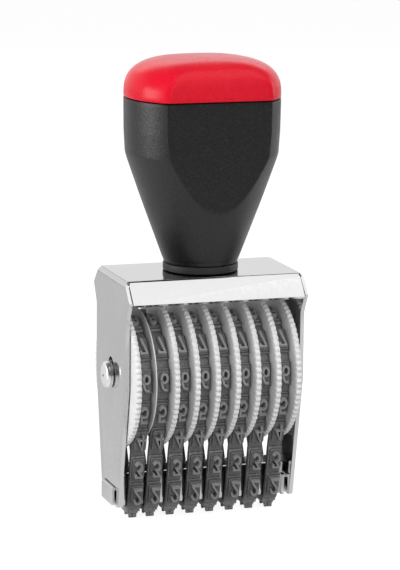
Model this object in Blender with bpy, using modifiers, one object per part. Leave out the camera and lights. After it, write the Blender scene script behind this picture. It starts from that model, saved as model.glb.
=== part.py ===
"""Band numbering stamp: knob handle, bent sheet frame, eight setting wheels and eight rubber bands.

The stamp stands on the print faces of its bands. The origin is on the floor under its centre.
+X runs along the wheel axle, -Y is the front, +Z is up. All sizes are in metres.
"""

from math import acos, asin, atan2, cos, hypot, pi, radians, sin

import bmesh
import bpy
from mathutils import Euler, Matrix, Vector

MM = 0.001
GAP = 0.25 * MM

# Frame of bent sheet
SHEET = 1.0 * MM
FRAME_HALF_WIDTH = 24.35 * MM
FRAME_TOP_Z = 65.6 * MM
FRAME_BOTTOM_Z = 4.2 * MM
SIDE_BEND_RADIUS = 1.6 * MM
TOP_HALF_DEPTH = 11.84 * MM
LIP_HALF_DEPTH = 16.6 * MM
LIP_Z = 60.2 * MM
LIP_FOLD_RADIUS = 1.0 * MM
LIP_END_INSET = 0.75 * MM
LIP_EDGE_INSET = 0.35 * MM
LIP_SLOT_WIDTH = 0.3 * MM
LIP_SLOT_START = 0.6 * MM
PLATE_UPPER_HALF_DEPTH = 13.4 * MM
PLATE_LOWER_HALF_DEPTH = 7.2 * MM
PLATE_TAPER_Z = 37.5 * MM
PLATE_STEP_Z = 55.4 * MM
PLATE_CORNER_RADIUS = 1.2 * MM
SKIN = 0.02 * MM

# Wheels and their axle
AXLE_Z = 38.7 * MM
AXLE_RADIUS = 2.0 * MM
AXLE_HEAD_RADIUS = 3.5 * MM
AXLE_HEAD_THICKNESS = 1.95 * MM
AXLE_HEAD_GAP = 0.15 * MM
AXLE_CAP_GAP = 0.1 * MM
SLOT_RADIUS = 2.25 * MM
SLOT_TOP_Z = 43.5 * MM
WHEEL_COUNT = 8
WHEEL_PITCH = 5.54 * MM
SECOND_WHEEL_RIGHT_X = -11.33 * MM
FIRST_WHEEL_RIGHT_X = -17.75 * MM
RIM_RADIUS = 19.4 * MM
RIM_WIDTH = 1.35 * MM
RIM_CHAMFER = 0.3 * MM
DRUM_RADIUS = 12.9 * MM
DISC_RADIUS = 17.4 * MM
DISC_THICKNESS = 0.3 * MM
DISC_HUB_RADIUS = 6.5 * MM
DISC_HUB_THICKNESS = 0.6 * MM
BORE_RADIUS = 2.1 * MM
BAND_SIDE_GAP = 0.12 * MM
WHEEL_STEPS = 36
WASHER_GAP = 0.15 * MM
END_WASHER_THICKNESS = 0.4 * MM
SPRING_SHEET = 0.25 * MM
SPRING_DISH = 0.25 * MM
SPRING_RADIUS = 5.5 * MM
SPRING_BORE_RADIUS = 2.4 * MM

# Rubber bands
BAND_WIDTH = 3.9 * MM
BAND_OVERHANG = 0.1 * MM
BAND_THICKNESS = 1.1 * MM
BAND_DRUM_GAP = 0.2 * MM
BLOCK_COUNT = 15
BLOCK_LENGTH = 6.2 * MM
BLOCK_HEIGHT = 1.1 * MM
TYPE_LENGTH = 5.0 * MM
TYPE_WIDTH = 2.3 * MM
TYPE_HEIGHT = 1.2 * MM
FOOT_TURN_RADIUS = 1.3 * MM
FOOT_TURN_HALF_DEPTH = 2.6 * MM

# Print foot inside the bands
FOOT_WALL = 0.8 * MM
FOOT_GAP = 0.2 * MM
FOOT_TOP_Z = 12.7 * MM
FOOT_TOP_HALF_DEPTH = 4.3 * MM
FOOT_HALF_LENGTH = 22.4 * MM
END_WALL_INSET = 0.25 * MM
END_WALL_LIFT = 0.15 * MM
TAB_TOP_Z = 9.2 * MM
TAB_BOTTOM_Z = 4.5 * MM
TAB_HALF_DEPTH = 4.7 * MM
TAB_SHEET = 0.7 * MM
TAB_GAP = 0.3 * MM
TAB_BEND_RADIUS = 0.6 * MM
TAB_SLOT_GAP = 0.2 * MM

# Handle and cap
NECK_RADIUS = 9.82 * MM
HANDLE_RADIUS = 20.5 * MM
HANDLE_FLAT = 15.0 * MM
NECK_RING_HEIGHT = 2.1 * MM
NECK_RING_RADIUS = 9.9 * MM
SEAM_Z = 111.2 * MM
CAP_TOP_Z = 122.0 * MM
CAP_EXPONENT = 3
CAP_FLAT_ROUND_Z = 115.0 * MM
CAP_FLAT_EASE = 0.2 * MM
FLAT_EXPONENT = 2.5
FLAT_STEPS = 10
HANDLE_STEPS = 40
INSERT_BORE_RADIUS = 2.9 * MM
INSERT_BORE_TOP_Z = 80.0 * MM
SPIGOT_INSET = 3.0 * MM
SPIGOT_LENGTH = 4.0 * MM

# Screw that holds the handle
SCREW_RADIUS = 1.75 * MM
SCREW_HEAD_RADIUS = 3.6 * MM
SCREW_HEAD_THICKNESS = 2.3 * MM
SCREW_TOP_Z = 76.0 * MM
SCREW_HOLE_RADIUS = 2.2 * MM
WASHER_RADIUS = 5.0 * MM
WASHER_THICKNESS = 0.5 * MM
STACK_GAP = 0.1 * MM
THREAD_GAP = 0.15 * MM
INSERT_GAP = 0.2 * MM

# Values worked out from the driving sizes
BAND_DRUM_RADIUS = DRUM_RADIUS + BAND_DRUM_GAP + BAND_THICKNESS / 2
TYPE_FACE = BAND_THICKNESS / 2 + BLOCK_HEIGHT + TYPE_HEIGHT
FOOT_TURN_Z = TYPE_FACE + FOOT_TURN_RADIUS
WHEEL_WIDTH = BAND_WIDTH - BAND_OVERHANG + BAND_SIDE_GAP + RIM_WIDTH
BODY_LOW_Z = FRAME_TOP_Z + NECK_RING_HEIGHT + GAP
LIE_IN_YZ = Euler((radians(90), 0, radians(90)))
LIE_IN_XZ = Euler((radians(90), 0, 0))
ALONG_X = Euler((0, radians(90), 0))


def clear_scene():
    """Remove every object that the scene starts with."""
    for item in list(bpy.data.objects):
        bpy.data.objects.remove(item, do_unlink=True)


def new_collection(name):
    """Make a collection in the scene."""
    collection = bpy.data.collections.new(name)
    bpy.context.scene.collection.children.link(collection)
    return collection


def material(name, color, roughness, metallic=0.0):
    """Make a Principled material."""
    made = bpy.data.materials.new(name)
    made.use_nodes = True
    shader = made.node_tree.nodes["Principled BSDF"]
    shader.inputs["Base Color"].default_value = (*color, 1.0)
    shader.inputs["Roughness"].default_value = roughness
    shader.inputs["Metallic"].default_value = metallic
    made.diffuse_color = (*color, 1.0)
    return made


def place(name, data, collection, location=(0, 0, 0), rotation=None, finish=None):
    """Make an object from a mesh or curve and put it in a collection."""
    item = bpy.data.objects.new(name, data)
    item.location = location
    if rotation:
        item.rotation_euler = rotation
    if finish and not data.materials:
        data.materials.append(finish)
    collection.objects.link(item)
    if collection == CUTTERS:
        item.hide_render = True
        item.display_type = "WIRE"
    return item


def smooth(mesh):
    """Shade a mesh smooth, apart from its sharp edges."""
    mesh.shade_smooth()
    mesh.set_sharp_from_angle(angle=radians(35))


def turned(name, profile, steps, collection, location=(0, 0, 0), rotation=None, finish=None, share=None):
    """Turn a profile of (radius, height) points about local Z with a Screw modifier.

    The profile runs down its outer side. It is closed to itself, unless both ends are on the axis.
    """
    mesh = share
    if mesh is None:
        mesh = bpy.data.meshes.new(name)
        points = [(radius, 0, height) for radius, height in profile]
        edges = [(i, i + 1) for i in range(len(points) - 1)]
        if profile[0][0] > 0:
            edges.append((len(points) - 1, 0))
        mesh.from_pydata(points, edges, [])
    item = place(name, mesh, collection, location, rotation, finish)
    screw = item.modifiers.new("turn", "SCREW")
    screw.axis = "Z"
    screw.angle = 2 * pi
    screw.steps = steps
    screw.render_steps = steps
    screw.use_merge_vertices = True
    screw.merge_threshold = 0.00001
    screw.use_smooth_shade = True
    return item


def flat(name, outlines, thickness, rotation, collection, location=(0, 0, 0), finish=None):
    """Make a flat piece from closed outlines of (u, v) points, as a welded mesh."""
    curve = bpy.data.curves.new(name, "CURVE")
    curve.dimensions = "2D"
    curve.fill_mode = "BOTH"
    curve.extrude = thickness / 2
    for outline in outlines:
        spline = curve.splines.new("POLY")
        spline.points.add(len(outline) - 1)
        for point, (u, v) in zip(spline.points, outline):
            point.co = (u, v, 0, 1)
        spline.use_cyclic_u = True
    drawn = place(name + "_outline", curve, collection, location, rotation)
    bpy.context.view_layer.update()
    graph = bpy.context.evaluated_depsgraph_get()
    mesh = bpy.data.meshes.new_from_object(drawn.evaluated_get(graph))
    bpy.data.objects.remove(drawn, do_unlink=True)
    weld(mesh)
    mesh.name = name
    mesh.materials.clear()
    return place(name, mesh, collection, location, rotation, finish)


def weld(mesh):
    """Join the loose caps of a mesh made from a curve."""
    shape = bmesh.new()
    shape.from_mesh(mesh)
    bmesh.ops.remove_doubles(shape, verts=shape.verts, dist=0.000001)
    bmesh.ops.recalc_face_normals(shape, faces=shape.faces)
    shape.to_mesh(mesh)
    shape.free()


def box(name, low, high, collection, finish=None):
    """Make a box between two corners, from a cube."""
    mesh = bpy.data.meshes.new(name)
    shape = bmesh.new()
    bmesh.ops.create_cube(shape, size=1.0)
    size = Vector(high) - Vector(low)
    bmesh.ops.scale(shape, vec=size, verts=shape.verts)
    shape.to_mesh(mesh)
    shape.free()
    return place(name, mesh, collection, (Vector(low) + Vector(high)) / 2, None, finish)


def combine(item, other, operation):
    """Add a Boolean modifier that unites, cuts or intersects the item with another object."""
    step = item.modifiers.new(operation.lower(), "BOOLEAN")
    step.operation = operation
    step.solver = "EXACT"
    step.object = other


def arc(centre, radius, start, end, segments):
    """Points of an arc, from the start angle to the end angle in radians."""
    angles = [start + (end - start) * i / segments for i in range(segments + 1)]
    return [(centre[0] + radius * cos(a), centre[1] + radius * sin(a)) for a in angles]


def rounded(corners, radius, segments=3):
    """Round the corners of a closed outline; radius may be one value or one for each corner."""
    radii = radius if isinstance(radius, (list, tuple)) else [radius] * len(corners)
    outline = []
    for i, corner in enumerate(corners):
        here = Vector(corner)
        if radii[i] == 0:
            outline.append(tuple(here))
            continue
        before = (Vector(corners[i - 1]) - here).normalized()
        after = (Vector(corners[(i + 1) % len(corners)]) - here).normalized()
        half = acos(max(-1.0, min(1.0, before.dot(after)))) / 2
        middle = here + (before + after).normalized() * (radii[i] / sin(half))
        reach = radii[i] * cos(half) / sin(half)
        first = here + before * reach - middle
        last = here + after * reach - middle
        start = atan2(first.y, first.x)
        turn = (atan2(last.y, last.x) - start + pi) % (2 * pi) - pi
        outline += arc(middle, radii[i], start, start + turn, segments)
    return outline


def mirrored(half):
    """Complete a half outline, whose points run down the +u side, with its mirror image."""
    return half + [(-u, v) for u, v in reversed(half)]


def band_run():
    """Direction angle of the outward normal of the band's front run, in the Y-Z plane."""
    to_axle = (FOOT_TURN_HALF_DEPTH, AXLE_Z - FOOT_TURN_Z)
    spread = asin((BAND_DRUM_RADIUS - FOOT_TURN_RADIUS) / hypot(*to_axle))
    return atan2(to_axle[1], to_axle[0]) + pi / 2 + spread


def band_lengths():
    """Lengths of the half loop: bottom, foot turn, straight run and drum, along the middle line."""
    normal = band_run()
    along = Vector((cos(normal), sin(normal)))
    turn = FOOT_TURN_RADIUS * (1.5 * pi - normal)
    low = Vector((-FOOT_TURN_HALF_DEPTH, FOOT_TURN_Z)) + along * FOOT_TURN_RADIUS
    high = Vector((0, AXLE_Z)) + along * BAND_DRUM_RADIUS
    return FOOT_TURN_HALF_DEPTH, turn, (high - low).length, BAND_DRUM_RADIUS * (normal - pi / 2)


def band_point(distance, offset):
    """Point (y, z) at a distance along the front half of the band's middle line, and its normal."""
    bottom, turn, run, _ = band_lengths()
    normal = band_run()
    if distance <= bottom:
        angle = 1.5 * pi
        middle = Vector((-distance, FOOT_TURN_Z - FOOT_TURN_RADIUS))
    elif distance <= bottom + turn:
        angle = 1.5 * pi - (distance - bottom) / FOOT_TURN_RADIUS
        centre = Vector((-FOOT_TURN_HALF_DEPTH, FOOT_TURN_Z))
        middle = centre + FOOT_TURN_RADIUS * Vector((cos(angle), sin(angle)))
    elif distance <= bottom + turn + run:
        angle = normal
        outwards = Vector((cos(angle), sin(angle)))
        centre = Vector((-FOOT_TURN_HALF_DEPTH, FOOT_TURN_Z))
        upwards = Vector((-outwards.y, outwards.x)) * -1
        middle = centre + FOOT_TURN_RADIUS * outwards + upwards * (distance - bottom - turn)
    else:
        angle = normal - (distance - bottom - turn - run) / BAND_DRUM_RADIUS
        middle = Vector((0, AXLE_Z)) + BAND_DRUM_RADIUS * Vector((cos(angle), sin(angle)))
    outwards = Vector((cos(angle), sin(angle)))
    return middle + outwards * offset, outwards


def loop_point(distance, offset):
    """Point and normal anywhere on the loop; distances run up the front and down the back."""
    half = sum(band_lengths())
    distance = distance % (2 * half)
    if distance <= half:
        return band_point(distance, offset)
    point, outwards = band_point(2 * half - distance, offset)
    return Vector((-point.x, point.y)), Vector((-outwards.x, outwards.y))


def block_frame(index):
    """Centre, outward normal and forward direction of one type block on the middle line."""
    pitch = 2 * sum(band_lengths()) / BLOCK_COUNT
    centre, outwards = loop_point(index * pitch, 0)
    return centre, outwards, Vector((outwards.y, -outwards.x))


def make_frame():
    """Bent sheet frame: two side plates, a top plate and two slanted lips."""
    width = FRAME_HALF_WIDTH
    inner = width - SHEET
    top = FRAME_TOP_Z
    inner_radius = SIDE_BEND_RADIUS - SHEET
    corners = [(-width, 0), (-width, top), (width, top), (width, 0)]
    corners += [(inner, 0), (inner, top - SHEET), (-inner, top - SHEET), (-inner, 0)]
    radii = [0, SIDE_BEND_RADIUS, SIDE_BEND_RADIUS, 0, 0, inner_radius, inner_radius, 0]
    channel = rounded(corners, radii, 4)
    frame = flat("frame", [channel], 3 * LIP_HALF_DEPTH, LIE_IN_XZ, PARTS, finish=METAL)

    edge = LIP_EDGE_INSET
    half = [(TOP_HALF_DEPTH - edge, top + SHEET), (TOP_HALF_DEPTH - edge, top)]
    half += [(LIP_HALF_DEPTH - 1.3 * edge, LIP_Z + edge), (LIP_HALF_DEPTH - 4 * edge, LIP_Z - 4 * edge)]
    half += [(PLATE_UPPER_HALF_DEPTH, PLATE_STEP_Z), (PLATE_UPPER_HALF_DEPTH, PLATE_TAPER_Z)]
    half += [(PLATE_LOWER_HALF_DEPTH, FRAME_BOTTOM_Z)]
    side = mirrored(half)
    radii = [0] * len(side)
    radii[len(half) - 1] = PLATE_CORNER_RADIUS
    radii[len(half)] = PLATE_CORNER_RADIUS
    outline = flat("side_outline", [rounded(side, radii)], 3 * width, LIE_IN_YZ, CUTTERS)
    combine(frame, outline, "INTERSECT")

    lips = make_lips()
    combine(frame, lips, "UNION")
    for sign in (-1, 1):
        combine(frame, make_lip_slot(sign), "DIFFERENCE")
    combine(frame, make_axle_slots(), "DIFFERENCE")
    for sign in (-1, 1):
        middle = sign * (FRAME_HALF_WIDTH - SHEET / 2)
        depth = TAB_HALF_DEPTH + TAB_SLOT_GAP
        low = (middle - SHEET, -depth, TAB_TOP_Z - TAB_SHEET - TAB_SLOT_GAP)
        high = (middle + SHEET, depth, TAB_TOP_Z + TAB_SLOT_GAP)
        combine(frame, box(f"tab_slot_{sign}", low, high, CUTTERS), "DIFFERENCE")
    hole = turned("screw_hole", rod_profile(SCREW_HOLE_RADIUS, top - 3 * SHEET, top + SHEET), 16, CUTTERS)
    combine(frame, hole, "DIFFERENCE")
    return frame


def lip_slope():
    """Direction down the front lip, in the Y-Z plane, with Y counted towards the front."""
    return Vector((LIP_HALF_DEPTH - TOP_HALF_DEPTH, LIP_Z - FRAME_TOP_Z)).normalized()


def make_lip_slot(sign):
    """Thin open seam between the ends of both lips and one side plate."""
    slope = lip_slope()
    inwards = Vector((slope.y, -slope.x)) * SHEET
    start = Vector((TOP_HALF_DEPTH, FRAME_TOP_Z)) + slope * LIP_SLOT_START
    end = Vector((LIP_HALF_DEPTH, LIP_Z)) + slope * LIP_SLOT_START
    corners = [start - inwards, end - inwards, end + 1.3 * inwards, start + 1.3 * inwards]
    outlines = [[(side * corner.x, corner.y) for corner in corners] for side in (-1, 1)]
    middle = sign * (FRAME_HALF_WIDTH - LIP_END_INSET - LIP_SLOT_WIDTH / 2)
    return flat(f"lip_slot_{sign}", outlines, LIP_SLOT_WIDTH, LIE_IN_YZ, CUTTERS, (middle, 0, 0))


def make_lips():
    """Top strip with its two slanted lips, a hair thinner than the top plate that it joins."""
    slope = lip_slope()
    inwards = Vector((slope.y, -slope.x)) * SHEET
    top = FRAME_TOP_Z - SKIN
    under = FRAME_TOP_Z - SHEET + SKIN
    half = [(TOP_HALF_DEPTH, top), (LIP_HALF_DEPTH, LIP_Z)]
    half += [(LIP_HALF_DEPTH + inwards.x, LIP_Z + inwards.y), (TOP_HALF_DEPTH - 0.4 * SHEET, under)]
    corners = [(-TOP_HALF_DEPTH, top)] + half
    corners += [(-u, v) for u, v in reversed(half[1:])]
    radii = [0] * len(corners)
    radii[0] = LIP_FOLD_RADIUS
    radii[1] = LIP_FOLD_RADIUS
    length = 2 * (FRAME_HALF_WIDTH - LIP_END_INSET)
    return flat("lip_strip", [rounded(corners, radii)], length, LIE_IN_YZ, CUTTERS)


def make_axle_slots():
    """Upright slot with round ends, through both side plates."""
    upper = SLOT_TOP_Z - SLOT_RADIUS
    outline = arc((0, upper), SLOT_RADIUS, 0, pi, 8)
    outline += arc((0, AXLE_Z), SLOT_RADIUS, pi, 2 * pi, 8)
    return flat("axle_slots", [outline], 3 * FRAME_HALF_WIDTH, LIE_IN_YZ, CUTTERS)


def rod_profile(radius, low, high):
    """Profile of a plain rod."""
    return [(0, high), (radius, high), (radius, low), (0, low)]


def ring_profile(inner, outer, low, high):
    """Profile of a plain ring."""
    return [(inner, high), (outer, high), (outer, low), (inner, low)]


def wheel_profile():
    """Setting wheel: drum for the band, and a thick rim for the fingers."""
    drum_end = WHEEL_WIDTH - RIM_WIDTH
    rim = RIM_RADIUS - RIM_CHAMFER
    return [
        (BORE_RADIUS, WHEEL_WIDTH),
        (rim, WHEEL_WIDTH),
        (RIM_RADIUS, WHEEL_WIDTH - RIM_CHAMFER),
        (RIM_RADIUS, drum_end + RIM_CHAMFER),
        (rim, drum_end),
        (DRUM_RADIUS, drum_end),
        (DRUM_RADIUS, 0),
        (BORE_RADIUS, 0),
    ]


def wheel_left_x(number):
    """Left end of a wheel; the first wheel is turned round, so its rim faces the left plate."""
    if number == 1:
        return FIRST_WHEEL_RIGHT_X - WHEEL_WIDTH
    return SECOND_WHEEL_RIGHT_X + (number - 2) * WHEEL_PITCH - WHEEL_WIDTH


def band_centre_x(number):
    """Middle of a band, on the drum of its wheel."""
    inset = BAND_WIDTH / 2 - BAND_OVERHANG
    if number == 1:
        return wheel_left_x(1) + WHEEL_WIDTH - inset
    return wheel_left_x(number) + inset


def make_wheels():
    """Eight setting wheels that share one profile."""
    profile = wheel_profile()
    shared = None
    for number in range(1, WHEEL_COUNT + 1):
        location = (wheel_left_x(number), 0, AXLE_Z)
        rotation = ALONG_X
        if number == 1:
            location = (wheel_left_x(number) + WHEEL_WIDTH, 0, AXLE_Z)
            rotation = Euler((0, radians(-90), 0))
        name = f"setting_wheel_{number}"
        wheel = turned(name, profile, WHEEL_STEPS, PARTS, location, rotation, WHEEL_PLASTIC, shared)
        shared = wheel.data


def band_outline():
    """Outer outline of a band with its blocks, and its inner outline, as (y, z) points."""
    pitch = 2 * sum(band_lengths()) / BLOCK_COUNT
    skin = BAND_THICKNESS / 2
    outer = []
    for index in range(BLOCK_COUNT):
        centre, outwards, forward = block_frame(index)
        raised = outwards * (skin + BLOCK_HEIGHT)
        reach = forward * (BLOCK_LENGTH / 2)
        start = index * pitch - BLOCK_LENGTH / 2
        end = index * pitch + BLOCK_LENGTH / 2
        outer.append(loop_point(start, skin)[0])
        outer.append(centre + raised - reach)
        outer.append(centre + raised + reach)
        outer.append(loop_point(end, skin)[0])
    bottom, turn, run, drum = band_lengths()
    half = bottom + turn + run + drum
    stops = [bottom + turn * i / 4 for i in range(5)]
    stops += [half - drum + drum * i / 10 for i in range(10)]
    stops += [2 * half - stop for stop in reversed(stops[1:])] + [2 * half - bottom]
    stops.insert(len(stops) // 2, half)
    inner = [loop_point(stop, -skin)[0] for stop in stops]
    return outer, inner


def make_type_pads():
    """Raised type faces of one band, one on each block."""
    mesh = bpy.data.meshes.new("type_pads")
    shape = bmesh.new()
    root = BAND_THICKNESS / 2 + BLOCK_HEIGHT / 2
    height = TYPE_FACE - root
    for index in range(BLOCK_COUNT):
        centre, outwards, forward = block_frame(index)
        middle = centre + outwards * (root + height / 2)
        turn = Matrix((
            (1, 0, 0, 0),
            (0, forward.x, outwards.x, middle.x),
            (0, forward.y, outwards.y, middle.y),
            (0, 0, 0, 1),
        ))
        size = Matrix.Diagonal((TYPE_WIDTH, TYPE_LENGTH, height, 1))
        bmesh.ops.create_cube(shape, size=1.0, matrix=turn @ size)
    bmesh.ops.recalc_face_normals(shape, faces=shape.faces)
    shape.to_mesh(mesh)
    shape.free()
    return place("type_pads", mesh, CUTTERS)


def make_bands():
    """Eight rubber bands that share one mesh, each round its wheel and the foot."""
    outer, inner = band_outline()
    pattern = flat("band_pattern", [outer, inner], BAND_WIDTH, LIE_IN_YZ, CUTTERS)
    combine(pattern, make_type_pads(), "UNION")
    bpy.context.view_layer.update()
    graph = bpy.context.evaluated_depsgraph_get()
    shared = bpy.data.meshes.new_from_object(pattern.evaluated_get(graph))
    shared.materials.clear()
    shared.name = "number_band"
    for number in range(1, WHEEL_COUNT + 1):
        location = (band_centre_x(number), 0, 0)
        place(f"number_band_{number}", shared, PARTS, location, LIE_IN_YZ, RUBBER)


def foot_floor_z():
    """Underside of the foot, just above the inside of the bands."""
    return FOOT_TURN_Z - FOOT_TURN_RADIUS + BAND_THICKNESS / 2 + FOOT_GAP


def make_foot():
    """Folded trough that the bands run round, with an end bracket through each side plate."""
    floor = foot_floor_z()
    bottom = FOOT_TURN_HALF_DEPTH + FOOT_TURN_RADIUS - BAND_THICKNESS / 2 - FOOT_GAP
    half = [(FOOT_TOP_HALF_DEPTH, FOOT_TOP_Z), (bottom, floor)]
    inner = [(bottom - FOOT_WALL, floor + FOOT_WALL), (FOOT_TOP_HALF_DEPTH - FOOT_WALL, FOOT_TOP_Z)]
    corners = half + [(-u, v) for u, v in reversed(half)]
    corners += [(-u, v) for u, v in reversed(inner)] + inner
    turn = bottom - FOOT_TURN_HALF_DEPTH
    outline = rounded(corners, [0, turn, turn, 0, 0, 0, 0, 0], 2)
    foot = flat("print_foot", [outline], 2 * FOOT_HALF_LENGTH, LIE_IN_YZ, PARTS, finish=METAL)
    for sign in (-1, 1):
        combine(foot, make_end_bracket(sign), "UNION")
    return foot


def make_end_bracket(sign):
    """Upright end wall, short shelf through the side plate, and tab folded down outside it."""
    wall = FOOT_HALF_LENGTH - END_WALL_INSET
    outside = FRAME_HALF_WIDTH + TAB_GAP + TAB_SHEET
    floor = foot_floor_z() + END_WALL_LIFT
    corners = [
        (wall, floor),
        (wall, TAB_TOP_Z),
        (outside, TAB_TOP_Z),
        (outside, TAB_BOTTOM_Z),
        (outside - TAB_SHEET, TAB_BOTTOM_Z),
        (outside - TAB_SHEET, TAB_TOP_Z - TAB_SHEET),
        (wall + TAB_SHEET, TAB_TOP_Z - TAB_SHEET),
        (wall + TAB_SHEET, floor),
    ]
    outline = [(sign * u, v) for u, v in rounded(corners, [0, 0, TAB_BEND_RADIUS, 0, 0, 0, 0, 0])]
    name = f"end_bracket_{sign}"
    return flat(name, [outline], 2 * TAB_HALF_DEPTH, LIE_IN_XZ, CUTTERS)


def head_profile(radius, low, high):
    """Low domed head on a rod, whose outer face is at the low end."""
    dome = 0.35 * (high - low)
    return [(radius, high), (radius, low + dome), (radius - dome, low + 0.3 * dome), (0, low)]


def make_axle():
    """Axle pin with a domed head on the left, and a push-on cap on the right."""
    face = FRAME_HALF_WIDTH + AXLE_HEAD_GAP
    outer = face + AXLE_HEAD_THICKNESS
    profile = [(0, face), (AXLE_RADIUS, face), (AXLE_RADIUS, -face)]
    profile += head_profile(AXLE_HEAD_RADIUS, -outer, -face)
    turned("axle_pin", profile, 24, PARTS, (0, 0, AXLE_Z), ALONG_X, STEEL)
    inner = face + AXLE_CAP_GAP
    cap = [(0, -inner)] + head_profile(AXLE_HEAD_RADIUS, -outer, -inner)
    turned("axle_cap", cap, 24, PARTS, (0, 0, AXLE_Z), Euler((0, radians(-90), 0)), STEEL)


def make_washers():
    """Guide disc between the first two wheels, and the washers that press on the last wheel."""
    middle = (FIRST_WHEEL_RIGHT_X + wheel_left_x(2)) / 2
    hub = DISC_HUB_THICKNESS / 2
    disc = DISC_THICKNESS / 2
    stepped = [
        (BORE_RADIUS, hub),
        (DISC_HUB_RADIUS, hub),
        (DISC_HUB_RADIUS, disc),
        (DISC_RADIUS, disc),
        (DISC_RADIUS, -disc),
        (DISC_HUB_RADIUS, -disc),
        (DISC_HUB_RADIUS, -hub),
        (BORE_RADIUS, -hub),
    ]
    turned("guide_disc", stepped, WHEEL_STEPS, PARTS, (middle, 0, AXLE_Z), ALONG_X, WHEEL_PLASTIC)

    start = wheel_left_x(WHEEL_COUNT) + WHEEL_WIDTH + WASHER_GAP
    flat_washer = ring_profile(BORE_RADIUS, DISC_HUB_RADIUS, 0, END_WASHER_THICKNESS)
    turned("end_washer", flat_washer, 24, PARTS, (start, 0, AXLE_Z), ALONG_X, STEEL)
    dished = [
        (SPRING_BORE_RADIUS, SPRING_DISH + SPRING_SHEET),
        (SPRING_RADIUS, SPRING_SHEET),
        (SPRING_RADIUS, 0),
        (SPRING_BORE_RADIUS, SPRING_DISH),
    ]
    start += END_WASHER_THICKNESS + STACK_GAP
    turned("spring_washer", dished, 24, PARTS, (start, 0, AXLE_Z), ALONG_X, STEEL)


def flat_prism(name, half_depth, low, high, round_from):
    """Block with flat front and back that round over towards its top."""
    half = []
    for i in range(FLAT_STEPS + 1):
        rise = sin(0.5 * pi * (FLAT_STEPS - i) / FLAT_STEPS)
        depth = half_depth * (1 - rise ** FLAT_EXPONENT) ** (1 / FLAT_EXPONENT)
        half.append((depth, round_from + rise * (high - round_from)))
    half.append((half_depth, low))
    outline = mirrored(half)[:-1] if half[0][0] < SKIN else mirrored(half)
    return flat(name, [outline], 4 * HANDLE_RADIUS, LIE_IN_YZ, CUTTERS)


def handle_outline():
    """Outer profile of the handle, from the seam down to the top of the neck ring."""
    return [
        (HANDLE_RADIUS, SEAM_Z),
        (HANDLE_RADIUS - 0.1 * MM, 103.0 * MM),
        (20.0 * MM, 96.8 * MM),
        (19.5 * MM, 95.0 * MM),
        (16.6 * MM, 86.7 * MM),
        (14.9 * MM, 82.0 * MM),
        (10.3 * MM, 69.6 * MM),
        (NECK_RADIUS, 68.4 * MM),
        (NECK_RADIUS, BODY_LOW_Z),
    ]


def upright_prism(name, half_depth):
    """Tall block with flat front and back faces."""
    return flat_prism(name, half_depth, 0, 2 * SEAM_Z, 1.5 * SEAM_Z)


def make_handle():
    """Handle body on its neck ring, with a bore for the insert and a socket for the cap."""
    low = FRAME_TOP_Z + GAP
    ring = ring_profile(SCREW_HOLE_RADIUS, NECK_RING_RADIUS, low, low + NECK_RING_HEIGHT - GAP)
    turned("neck_ring", ring, HANDLE_STEPS, PARTS, finish=RING_PLASTIC)

    outer = [(0, SEAM_Z)] + handle_outline() + [(0, BODY_LOW_Z)]
    body = turned("handle_body", outer, HANDLE_STEPS, PARTS, finish=BLACK_PLASTIC)
    combine(body, upright_prism("handle_flats", HANDLE_FLAT), "INTERSECT")
    depth = SPIGOT_INSET - GAP
    profile = rod_profile(HANDLE_RADIUS - depth, SEAM_Z - SPIGOT_LENGTH - GAP, SEAM_Z + MM)
    socket = turned("cap_socket", profile, HANDLE_STEPS, CUTTERS)
    combine(socket, upright_prism("socket_flats", HANDLE_FLAT - depth), "INTERSECT")
    combine(body, socket, "DIFFERENCE")
    profile = rod_profile(INSERT_BORE_RADIUS, BODY_LOW_Z - MM, INSERT_BORE_TOP_Z)
    combine(body, turned("insert_bore", profile, 20, CUTTERS), "DIFFERENCE")


def dome(radius, base, top, steps=9):
    """Domed profile from the axis out and down, a cube-law superellipse."""
    points = [(0, top)]
    for i in range(1, steps + 1):
        share = sin(0.5 * pi * i / steps)
        rise = max(0.0, 1 - share ** CAP_EXPONENT) ** (1 / CAP_EXPONENT)
        points.append((radius * share, base + (top - base) * rise))
    return points


def make_cap():
    """Domed cap, whose spigot plugs into the top of the handle."""
    base = SEAM_Z + GAP
    outer = dome(HANDLE_RADIUS, base, CAP_TOP_Z) + [(0, base)]
    cap = turned("handle_cap", outer, HANDLE_STEPS, PARTS, finish=RED_PLASTIC)
    combine(cap, flat_prism("cap_flats", HANDLE_FLAT, 0, CAP_TOP_Z + CAP_FLAT_EASE, CAP_FLAT_ROUND_Z), "INTERSECT")
    profile = rod_profile(HANDLE_RADIUS - SPIGOT_INSET, SEAM_Z - SPIGOT_LENGTH, SEAM_Z + 2 * MM)
    spigot = turned("cap_spigot", profile, HANDLE_STEPS, CUTTERS)
    combine(spigot, upright_prism("spigot_flats", HANDLE_FLAT - SPIGOT_INSET), "INTERSECT")
    combine(cap, spigot, "UNION")


def make_handle_screw():
    """Pan head screw, washer and threaded insert that hold the handle on the top plate."""
    under = FRAME_TOP_Z - SHEET
    washer_low = under - STACK_GAP - WASHER_THICKNESS
    washer = ring_profile(SCREW_HOLE_RADIUS, WASHER_RADIUS, washer_low, washer_low + WASHER_THICKNESS)
    turned("screw_washer", washer, 24, PARTS, finish=STEEL)
    head_top = washer_low - STACK_GAP
    head_low = head_top - SCREW_HEAD_THICKNESS
    profile = [(0, SCREW_TOP_Z), (SCREW_RADIUS, SCREW_TOP_Z), (SCREW_RADIUS, head_top)]
    profile += head_profile(SCREW_HEAD_RADIUS, head_low, head_top)
    turned("handle_screw", profile, 20, PARTS, finish=STEEL)
    low = BODY_LOW_Z + GAP
    bush = ring_profile(SCREW_RADIUS + THREAD_GAP, INSERT_BORE_RADIUS - INSERT_GAP, low, SCREW_TOP_Z)
    turned("handle_insert", bush, 20, PARTS, finish=BRASS)


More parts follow.
